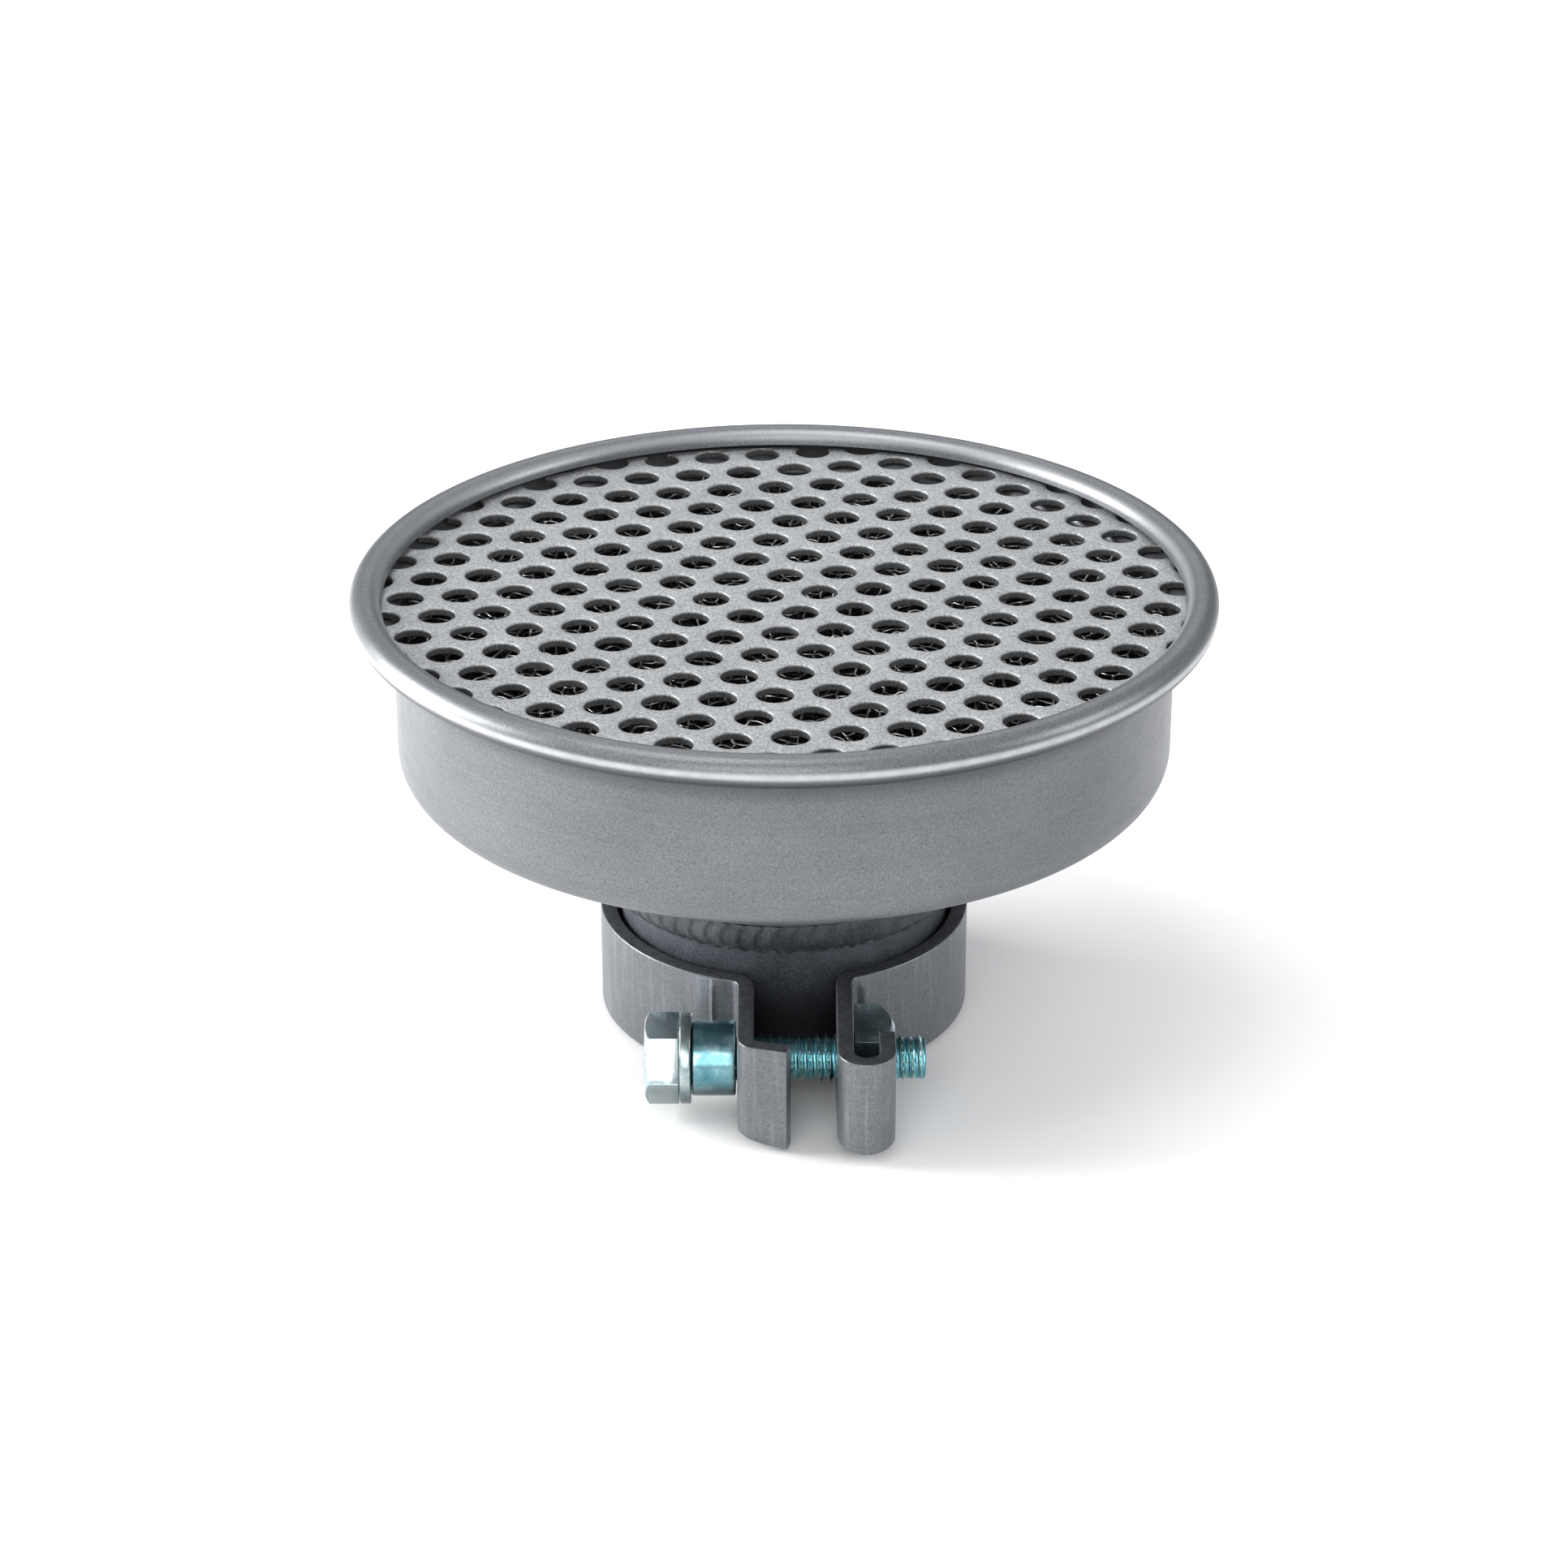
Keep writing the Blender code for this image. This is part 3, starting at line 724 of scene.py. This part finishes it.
def make_cover():
    mesh = perforated_mesh("cover_plate", COVER_LOW.z / MM, COVER_HIGH.z / MM,
                           COVER_HIGH.x / MM, HOLE_R, HOLE_PITCH, PATTERN_TURN, PATTERN_SHIFT,
                           roll=0.35, dip=0.10)
    weigh_normals(new_piece("cover_plate", mesh, [cover_look()], "root",
                            "perforated_cover"))


def make_screen():
    """The support screen, and the ring on the cone's floor that it rests on."""
    look = zinc_sheet_look()
    mesh = perforated_mesh("screen_plate", SCREEN_LOW.z / MM, SCREEN_HIGH.z / MM,
                           SCREEN_HIGH.x / MM, SCREEN_HOLE_R, SCREEN_PITCH, 0.0, (0.0, 0.0),
                           roll=0.25, dip=0.05)
    weigh_normals(new_piece("screen_plate", mesh, [look], "root", "support_screen"))
    low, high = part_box("support_ring")
    bottom, top, outer = low.z / MM, high.z / MM, high.x / MM
    inner, edge = outer - 3.0, 0.4
    slope = cone_height(outer) - cone_height(inner)
    outline = [(inner + edge, top), (outer - edge, top), (outer, top - edge),
               (outer, bottom + slope + edge), (outer - edge, bottom + slope),
               (inner + edge, bottom), (inner, bottom + edge), (inner, top - edge)]
    ring = revolve("screen_ring", outline, 160, sharp=60)
    new_piece("screen_ring", ring, [look], "root", "support_ring")


def make_neck():
    """The pipe, with its four clamping slots."""
    outer, inner = NECK_HIGH.x / MM, NECK_HIGH.x / MM - NECK_WALL
    top, bottom, edge = NECK_HIGH.z / MM, NECK_LOW.z / MM, 0.3
    heights = list(np.linspace(top - edge, bottom + edge, 8))
    outline = [(inner + edge, top), (outer - edge, top), *[(outer, z) for z in heights],
               (outer - edge, bottom), (inner + edge, bottom), *[(inner, z) for z in heights[::-1]]]
    pipe = revolve("neck_pipe", outline, 192)
    slots = bmesh.new()
    for angle in (45, 135, 225, 315):
        turn = Matrix.Rotation(math.radians(angle), 4, "Z")
        place = turn @ Matrix.Translation((outer * MM, 0.0, 0.0))
        size = Matrix.Diagonal((4 * NECK_WALL * MM, SLOT_WIDTH * MM, 2 * SLOT_HEIGHT * MM, 1.0))
        bmesh.ops.create_cube(slots, size=1.0, matrix=place @ size)
    cutter = bpy.data.meshes.new("slots")
    slots.to_mesh(cutter)
    slots.free()
    pipe = smoothed(boolean(pipe, cutter, "DIFFERENCE"), 35)
    new_piece("neck_pipe", pipe, [neck_look()], "root", "neck_tube")


def make_weld():
    """A fillet bead between neck and cone, with the ripples that its pools left."""
    inner, clear = 27.6, 0.05
    top_r = WELD_HIGH.x / MM - 0.9
    top = np.array([top_r, cone_height(top_r) - clear])
    toe = np.array([inner, WELD_LOW.z / MM])
    along = toe - top
    outward = np.array([-along[1], along[0]]) / np.linalg.norm(along)
    face = [top + along * share + outward * math.sin(math.pi * share)
            for share in np.linspace(0, 1, 19)]
    outline = [(inner, cone_height(inner) - clear), *face]
    ripples, steps_each = 68, 12
    wander = RANDOM.uniform(-1, 1, ripples + 1)
    wander[-1] = wander[0]
    spatter = RANDOM.uniform(-1, 1, (ripples * steps_each, len(outline)))
    spatter = (spatter + np.roll(spatter, 1, 0) + np.roll(spatter, 1, 1)) / 3

    def pooled(r, z, angle):
        """Ripples that sweep back at mid-bead, a rough face and a scalloped toe."""
        share = np.clip((top[1] - z) / (top[1] - toe[1]), 0, 1)
        crest = 1 - 4 * (share - 0.5) ** 2
        at = angle / TAU * ripples
        lag = at + 0.55 * crest
        drift = np.interp(lag % ripples, np.arange(ripples + 1), wander)
        saw = lag % 1.0
        ripple = np.where(saw < 0.8, saw / 0.8, (1 - saw) / 0.2)
        lift = 0.34 * ripple + 0.16 * drift
        on_face = np.clip((r - inner) / 0.4, 0, 1) * np.clip((share + 0.15) / 0.2, 0, 1)
        edge = np.clip((share - 0.72) / 0.28, 0, 1)
        rough = spatter[int(round(at * steps_each)) % len(spatter)]
        r = r + on_face * (lift * (0.9 - 0.6 * edge) + 0.09 * rough)
        scallop = np.abs(np.sin((at + 0.25 * drift) * math.pi)) ** 0.7
        z = z + edge * (0.60 - 0.6 * scallop + 0.35 * np.abs(drift))
        return r, z

    mesh = revolve("weld_bead", outline, ripples * steps_each, pooled, sharp=70)
    new_piece("weld_bead", mesh, [weld_look()], "root", "neck_weld")


# ---------------------------------------------------------------- wire packing

def wire_tubes(paths, wide, thick, sides):
    """Tubes of an oval section along many paths, as one mesh's points and faces."""
    turn = np.arange(sides) * TAU / sides
    verts, faces, start = [], [], 0
    for path in paths:
        ahead = np.gradient(path, axis=0)
        ahead /= np.linalg.norm(ahead, axis=1)[:, None]
        across = np.column_stack([-ahead[:, 1], ahead[:, 0], np.zeros(len(path))])
        across /= np.linalg.norm(across, axis=1)[:, None] + 1e-9
        above = np.cross(ahead, across)
        ring = (path[:, None, :] + across[:, None, :] * (wide * np.cos(turn))[None, :, None]
                + above[:, None, :] * (thick * np.sin(turn))[None, :, None])
        verts.append(ring.reshape(-1, 3))
        faces += [tuple(start + k for k in face) for face in rod_faces(len(path), sides)]
        start += len(path) * sides
    return np.concatenate(verts), faces


def knitted_ply(radius, middle, swing, loop, row, per_loop, turn, crimp_turn):
    """Paths of one flattened, crimped ply of knitted wire, clipped to a circle, in mm."""
    paths = []
    spin = np.array([[math.cos(turn), -math.sin(turn)], [math.sin(turn), math.cos(turn)]])
    crimp = np.array([math.cos(crimp_turn), math.sin(crimp_turn)])
    phase = RANDOM.uniform(0, TAU, 8)
    for offset in np.arange(-radius - row, radius + row, row):
        span = int(radius / loop) + 2
        t = np.arange(-span * per_loop, span * per_loop) * TAU / per_loop
        reach = 0.72 + 0.16 * np.sin(t * 0.37 + offset + phase[0])
        x = loop / TAU * (t + 0.85 * np.sin(2 * t))
        y = offset + row * reach * np.cos(t)
        x = x + 0.7 * np.sin(y * 0.55 + x * 0.21 + phase[1]) + 0.35 * np.sin(x * 0.9 + phase[2])
        y = y + 0.8 * np.sin(x * 0.43 + phase[3]) + 0.4 * np.sin(x * 1.1 + offset * 2 + phase[4])
        flat = np.column_stack([x, y]) @ spin.T
        wave = np.sin(flat @ crimp * TAU / 8.5 + phase[5])
        z = middle + swing * 0.68 * wave + swing * 0.2 * np.sin(flat[:, 0] * 0.5 + phase[6])
        z = z + swing * 0.12 * np.cos(2 * t)
        inside = np.hypot(flat[:, 0], flat[:, 1]) < radius
        edges = np.flatnonzero(np.diff(np.concatenate([[0], inside.astype(int), [0]])))
        for first, last in zip(edges[::2], edges[1::2]):
            if last - first > 4:
                paths.append(np.column_stack([flat[first:last], z[first:last]]))
    return paths


def make_packing():
    """Layers of knitted wire mesh, finest where the cover's holes show them."""
    look = wire_look()
    for number in range(1, LAYER_COUNT + 1):
        low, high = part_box(f"mesh_layer_{number}")
        bottom, top, radius = low.z / MM + 0.2, high.z / MM - 0.2, high.x / MM - 0.3
        turn = 0.5 + number * 1.1
        if number == LAYER_COUNT:
            plies = [(top - 0.85, 0.85, 5.4, 3.4, 20, turn, turn + 0.7)]
            wide, thick, sides = 0.17, 0.12, 5
        else:
            middle, swing = (top + bottom) / 2, (top - bottom) / 2
            plies = [(middle, swing, 5.2, 3.6, 10, turn + 0.4 * ply, turn + 0.7 + 1.3 * ply)
                     for ply in range(2)]
            wide, thick, sides = 0.20, 0.15, 4
        paths = []
        for ply in plies:
            paths += knitted_ply(radius, *ply)
        verts, faces = wire_tubes(paths, wide, thick, sides)
        if number == LAYER_COUNT:
            deeper = knitted_ply(radius, bottom + 1.0, 1.0, 5.8, 4.4, 9, turn + 0.9, turn)
            more_verts, more_faces = wire_tubes(deeper, wide, thick, 3)
            faces += [tuple(len(verts) + k for k in face) for face in more_faces]
            verts = np.concatenate([verts, more_verts])
        mesh = mesh_from(f"wire_mesh_{number}", verts * MM, faces, sharp=80)
        new_piece(f"wire_mesh_{number}", mesh, [look], "root",
                  f"mesh_layer_{number}")


# ---------------------------------------------------------------- clamp band

def band_line():
    """The strip's middle line in mm, from the left flange round the neck to the hook's end."""
    hook_front = BAND_LOW.y / MM + BAND_T / 2
    along = np.array(FLANGE_END) - np.array([LEFT_EAR_X, FLANGE_CORNER_Y])
    along /= np.linalg.norm(along)
    half_turn = math.acos(along[1]) / 2
    bend_centre = (LEFT_EAR_X + FLANGE_BEND_R,
                   FLANGE_CORNER_Y + FLANGE_BEND_R / math.tan(half_turn))
    flange_angle = math.atan2(along[1], along[0]) - math.pi / 2
    path = [FLANGE_END] + arc(bend_centre, FLANGE_BEND_R, flange_angle, -math.pi, 10)

    def root(ear_x, side):
        """The bend between an ear and the round part, from the ear's side."""
        centre_x = ear_x + side * EAR_ROOT_R
        centre_y = -math.sqrt((BAND_R + EAR_ROOT_R) ** 2 - centre_x ** 2)
        start = math.pi if side > 0 else 0.0
        return arc((centre_x, centre_y), EAR_ROOT_R, start, math.atan2(-centre_y, -centre_x), 10)

    path += root(LEFT_EAR_X, -1)
    right = root(RIGHT_EAR_X, 1)[::-1]
    first = math.atan2(path[-1][1], path[-1][0]) % TAU
    last = math.atan2(right[0][1], right[0][0]) % TAU - TAU
    path += arc((0.0, 0.0), BAND_R, first, last, 200)[1:-1]
    path += right
    path += arc((RIGHT_EAR_X + HOOK_R, hook_front + HOOK_R), HOOK_R, math.pi, TAU, 20)
    path.append((RIGHT_EAR_X + 2 * HOOK_R, HOOK_TIP_Y))
    fine = resample(path, 0.1)
    near_rib = np.min([np.abs(fine[:, 0] - rib[0]) for rib in RIBS], axis=0) < 1.8
    near_rib &= fine[:, 1] < -15
    keep = near_rib | (np.arange(len(fine)) % 5 == 0)
    keep[-1] = True
    return fine[keep]


def smooth_step(value, low, high):
    """0 to 1, without corners, as a value goes from low to high."""
    share = min(max((value - low) / (high - low), 0.0), 1.0)
    return share * share * (3 - 2 * share)


def lower_edge_lift(place):
    """How far bending has drawn up the strip's lower edge, in mm: most at the tight bends."""
    forward = smooth_step(-place[1], 38.0, 49.0)
    if place[0] > 5:
        off_middle = (place[0] - RIGHT_EAR_X - HOOK_R) / 4.2
        front = smooth_step(-place[1], 50.5, 56.5) * max(0.0, 1 - off_middle ** 2)
        return forward * (2.3 - 0.8 * front)
    return forward * (1.3 - 1.0 * smooth_step(place[0], -7.0, -2.5)
                      - 0.3 * smooth_step(place[0], -2.5, 0.6))


def strip_section():
    """The strip's section: (across its thickness, height), with broken edges, in mm."""
    half, low, high, edge, worn = BAND_T / 2, BAND_LOW.z / MM, BAND_HIGH.z / MM, 0.28, 0.7
    corners = [(half - worn, low + worn, worn, -math.pi / 2), (half - edge, high - edge, edge, 0.0),
               (-half + edge, high - edge, edge, math.pi / 2),
               (-half + edge, low + edge, edge, math.pi)]
    points = []
    for x, z, radius, start in corners:
        points += arc((x, z), radius, start, start + math.pi / 2, 4)
    rows = []
    for index, point in enumerate(points):
        rows.append(point)
        after = points[(index + 1) % len(points)]
        if abs(after[1] - point[1]) > 2.0:
            rows += [(point[0], z) for z in np.linspace(point[1], after[1], 26)[1:-1]]
    return np.array(rows)


def make_band():
    """The clamp band, with a coined rib near each ear, and its two bolt holes."""
    line, section = band_line(), strip_section()
    low, high = BAND_LOW.z / MM, BAND_HIGH.z / MM
    verts = []
    for place, out in zip(line, leftward(line)):
        bulge = np.zeros(len(section))
        raised = lower_edge_lift(place)
        heights = high - (high - section[:, 1]) * (high - low - raised) / (high - low)
        for rib_x, rib_low, rib_high, height, width in RIBS:
            if place[1] < -15:
                near = math.exp(-((place[0] - rib_x) / width) ** 2)
                ends = np.clip((section[:, 1] - rib_low) / 0.6, 0, 1)
                ends *= np.clip((rib_high - section[:, 1]) / 0.6, 0, 1)
                bulge += height * near * ends * (section[:, 0] > BAND_T / 2 - 0.05)
        across = section[:, 0] + bulge
        verts.append(np.column_stack([place[0] + out[0] * across, place[1] + out[1] * across,
                                      heights]) * MM)
    faces = rod_faces(len(line), len(section))
    mesh = mesh_from("band_strip", np.concatenate(verts), faces, sharp=45)
    face_outward(mesh)
    drill = solid_of_revolution("drill", [(0, 12), (4.5, 12), (4.5, -12), (0, -12)], 64)
    drill.transform(Matrix.Translation((0, BOLT_Y, BOLT_Z)) @ Matrix.Rotation(math.pi / 2, 4, "Y"))
    mesh = smoothed(boolean(mesh, drill, "DIFFERENCE"), 45)
    new_piece("band_strip", mesh, [band_look(), band_edge_shade_look()], "clamp",
              "clamp_band")
    # The strip's upward- and downward-facing cut edges take the painted-shade edge material.
    cut_edges = [int(abs(face.normal.z) > 0.75) for face in mesh.polygons]
    mesh.polygons.foreach_set("material_index", cut_edges)


# ---------------------------------------------------------------- fasteners

def along_x(mesh, x, towards):
    """Turn a mesh made about +Z to point along +X or -X on the bolt's axis, its base at x mm."""
    turn = Matrix.Rotation(math.pi / 2 * towards, 4, "Y")
    mesh.transform(Matrix.Translation((x * MM, BOLT_Y, BOLT_Z)) @ turn)


def prism_mesh(sides, radius, low, high, turn):
    """A prism about Z, its radius to the corners, in mm."""
    shape = bmesh.new()
    place = Matrix.Translation((0, 0, (low + high) / 2 * MM)) @ Matrix.Rotation(turn, 4, "Z")
    bmesh.ops.create_cone(shape, cap_ends=True, segments=sides, radius1=radius * MM,
                          radius2=radius * MM, depth=(high - low) * MM, matrix=place)
    mesh = bpy.data.meshes.new("prism")
    shape.to_mesh(mesh)
    shape.free()
    return mesh


def thread_mesh(low, high):
    """A threaded rod about Z: sharp crests, round roots and a tapered end at its low end."""
    around, per_turn = 96, 20
    rows = int((high - low) / THREAD_PITCH * per_turn)
    heights = np.linspace(low, high, rows + 1)
    angles = np.arange(around) * TAU / around
    verts = []
    for z in heights:
        away = np.abs((z / THREAD_PITCH - angles / TAU) % 1.0 - 0.5) * 2
        cut = THREAD_DEPTH * np.sqrt(np.clip(1 - (away / 0.93) ** 2, 0, 1)) ** 0.9
        taper = THREAD_R - 1.15 + (z - low)
        if z > low + 0.15:
            taper = max(taper, THREAD_R - THREAD_DEPTH * 0.98)
        r = np.minimum(THREAD_R - cut, taper)
        verts.append(np.column_stack([r * np.cos(angles), r * np.sin(angles),
                                      np.full(around, z)]) * MM)
    mesh = mesh_from("thread", np.concatenate(verts), rod_faces(rows + 1, around), sharp=60)
    face_outward(mesh)
    return mesh


def make_bolt():
    """The screw: a chamfered hexagon head and a rod threaded over its whole length."""
    head_x = WASHER_LOW.x / MM - GAP
    length = BOLT_HIGH.x / MM - head_x
    head_t = head_x - BOLT_LOW.x / MM
    head = prism_mesh(6, HEX_FLATS / math.sqrt(3), -SEAT, head_t, HEAD_TURN)
    flat_r = HEX_FLATS / 2 * 0.96
    drop = (HEX_FLATS - flat_r) * math.tan(math.radians(30))
    crown = solid_of_revolution("crown", [(0, head_t - 0.25), (2.6, head_t - 0.25), (3.0, head_t),
                                          (flat_r, head_t), (HEX_FLATS, head_t - drop),
                                          (HEX_FLATS, -1), (0, -1)], 120)
    head = boolean(head, crown, "INTERSECT")
    head = bevelled(head, 0.22, 2)
    bolt = boolean(head, thread_mesh(-length, head_t / 2), "UNION")
    along_x(bolt, head_x, -1)
    smoothed(bolt, 48)
    tones = [(0.42, 0.62, 0.66), (0.62, 0.74, 0.76), (0.74, 0.82, 0.83), (0.55, 0.72, 0.76)]
    looks = [zinc_look("bolt_zinc", tones, 0.17, 6.0), thread_look()]
    new_piece("bolt_m8", bolt, looks, "bolt", "clamp_bolt")
    threaded = [int(face.center.x > (head_x + SEAT + 0.02) * MM) for face in bolt.polygons]
    bolt.polygons.foreach_set("material_index", threaded)


def make_washer():
    """A split spring washer, nearly flat, whose ends have sprung a little apart."""
    inner, outer = 4.25, WASHER_HIGH.y / MM - BOLT_Y / MM
    thick = (WASHER_HIGH.x - WASHER_LOW.x) / MM
    section = np.array(ring_section(inner, outer, 0.0, thick, 0.25))
    split, split_at = math.radians(9), math.radians(38)
    steps = 120
    verts = []
    for step in range(steps + 1):
        share = step / steps
        angle = split_at + split / 2 + share * (TAU - split)
        slant = (section[:, 1] / thick - 0.5) * 0.16
        spring = 0.14 * (share - 0.5)
        verts.append(np.column_stack([section[:, 0] * np.cos(angle + slant),
                                      section[:, 0] * np.sin(angle + slant),
                                      section[:, 1] + spring]) * MM)
    faces = rod_faces(steps + 1, len(section))
    mesh = mesh_from("spring_washer", np.concatenate(verts), faces, sharp=50)
    face_outward(mesh)
    along_x(mesh, WASHER_HIGH.x / MM, -1)
    tones = [(0.26, 0.33, 0.34), (0.36, 0.43, 0.43), (0.50, 0.56, 0.56), (0.32, 0.41, 0.43)]
    new_piece("spring_washer", mesh, [zinc_look("washer_zinc", tones, 0.26, 2.5)], "spacers",
              "lock_washer")


def make_sleeve():
    outer = (SLEEVE_HIGH.y - BOLT_Y) / MM
    length = (SLEEVE_HIGH.x - SLEEVE_LOW.x) / MM + SEAT
    mesh = revolve("spacer_bush", ring_section(4.3, outer, 0.0, length, 0.35), 96, sharp=50)
    along_x(mesh, SLEEVE_HIGH.x / MM, -1)
    tones = [(0.08, 0.22, 0.26), (0.16, 0.33, 0.37), (0.36, 0.54, 0.58), (0.12, 0.28, 0.33)]
    new_piece("spacer_bush", mesh, [zinc_look("sleeve_zinc", tones, 0.22, 4.0)], "spacers",
              "bolt_sleeve")


def make_nut():
    """The square nut, chamfered on its outer face, with a countersunk bore."""
    width = (NUT_HIGH.y - NUT_LOW.y) / MM
    thick = (NUT_HIGH.x - NUT_LOW.x) / MM
    block = prism_mesh(4, width / math.sqrt(2), 0.0, thick, math.pi / 4)
    flat_r = width / 2 * 0.90
    drop = (width - flat_r) * math.tan(math.radians(38))
    crown = solid_of_revolution("crown", [(0, thick), (flat_r, thick), (width, thick - drop),
                                          (width, -1), (0, -1)], 120)
    block = boolean(block, crown, "INTERSECT")
    bore = solid_of_revolution("bore", [(0, thick + 1), (5.4, thick + 1), (4.3, thick - 0.1),
                                        (4.1, thick - 0.3), (4.1, 0.3), (4.4, 0.0), (4.4, -1),
                                        (0, -1)], 72)
    block = boolean(block, bore, "DIFFERENCE")
    block = bevelled(block, 0.40, 3)
    along_x(block, NUT_LOW.x / MM, 1)
    tones = [(0.22, 0.32, 0.34), (0.32, 0.42, 0.44), (0.44, 0.54, 0.56), (0.27, 0.38, 0.41)]
    new_piece("nut_square", block, [zinc_look("nut_zinc", tones, 0.27, 5.0)], "clamp",
              "square_nut")


# ---------------------------------------------------------------- stage

def make_floor():
    floor = bpy.data.meshes.new("floor")
    corners = [(x * FLOOR_HALF, y * FLOOR_HALF, 0) for x, y in ((-1, -1), (1, -1), (1, 1), (-1, 1))]
    floor.from_pydata(corners, [], [(0, 1, 2, 3)])
    plane = add_object("floor", floor)
    plane.location.z = -FLOOR_DROP
    pale = bpy.data.materials.new("pale_floor")
    pale.use_nodes = True
    shader = pale.node_tree.nodes["Principled BSDF"]
    shader.inputs["Base Color"].default_value = (0.90, 0.90, 0.90, 1.0)
    shader.inputs["Roughness"].default_value = 0.9
    shader.inputs["Specular IOR Level"].default_value = 0.1
    floor.materials.append(pale)


def make_world():
    """A soft sky: dark low down and pale overhead."""
    world = bpy.data.worlds.new("studio")
    bpy.context.scene.world = world
    world.use_nodes = True
    tree = world.node_tree
    background = tree.nodes["Background"]
    direction = tree.nodes.new("ShaderNodeTexCoord")
    split = tree.nodes.new("ShaderNodeSeparateXYZ")
    ramp = tree.nodes.new("ShaderNodeValToRGB")
    ramp.color_ramp.elements[0].position = 0.02
    ramp.color_ramp.elements[0].color = (0.07, 0.08, 0.09, 1.0)
    ramp.color_ramp.elements[1].position = 0.85
    ramp.color_ramp.elements[1].color = (0.80, 0.81, 0.84, 1.0)
    tree.links.new(direction.outputs["Generated"], split.inputs["Vector"])
    tree.links.new(split.outputs["Z"], ramp.inputs["Fac"])
    tree.links.new(ramp.outputs["Color"], background.inputs["Color"])
    background.inputs["Strength"].default_value = 0.9


def make_lights():
    for name, place, size, power in LIGHTS:
        data = bpy.data.lights.new(name, "AREA")
        data.shape = "SQUARE"
        data.size = size
        data.energy = power
        lamp = add_object(name, data)
        lamp.location = place
        lamp.rotation_euler = (LIGHTS_AIM - Vector(place)).to_track_quat("-Z", "Y").to_euler()


def make_camera():
    camera_data = bpy.data.cameras.new("camera")
    camera_data.lens = CAMERA_LENS
    camera_data.sensor_width = CAMERA_SENSOR
    camera = add_object("camera", camera_data)
    camera.location = CAMERA_PLACE
    camera.rotation_euler = (CAMERA_TILT, 0.0, 0.0)
    bpy.context.scene.camera = camera


bpy.context.scene.view_settings.view_transform = "Standard"
make_floor()
make_world()
make_lights()
make_camera()
make_pan()
make_cover()
make_screen()
make_neck()
make_weld()
make_packing()
make_band()
make_bolt()
make_washer()
make_sleeve()
make_nut()
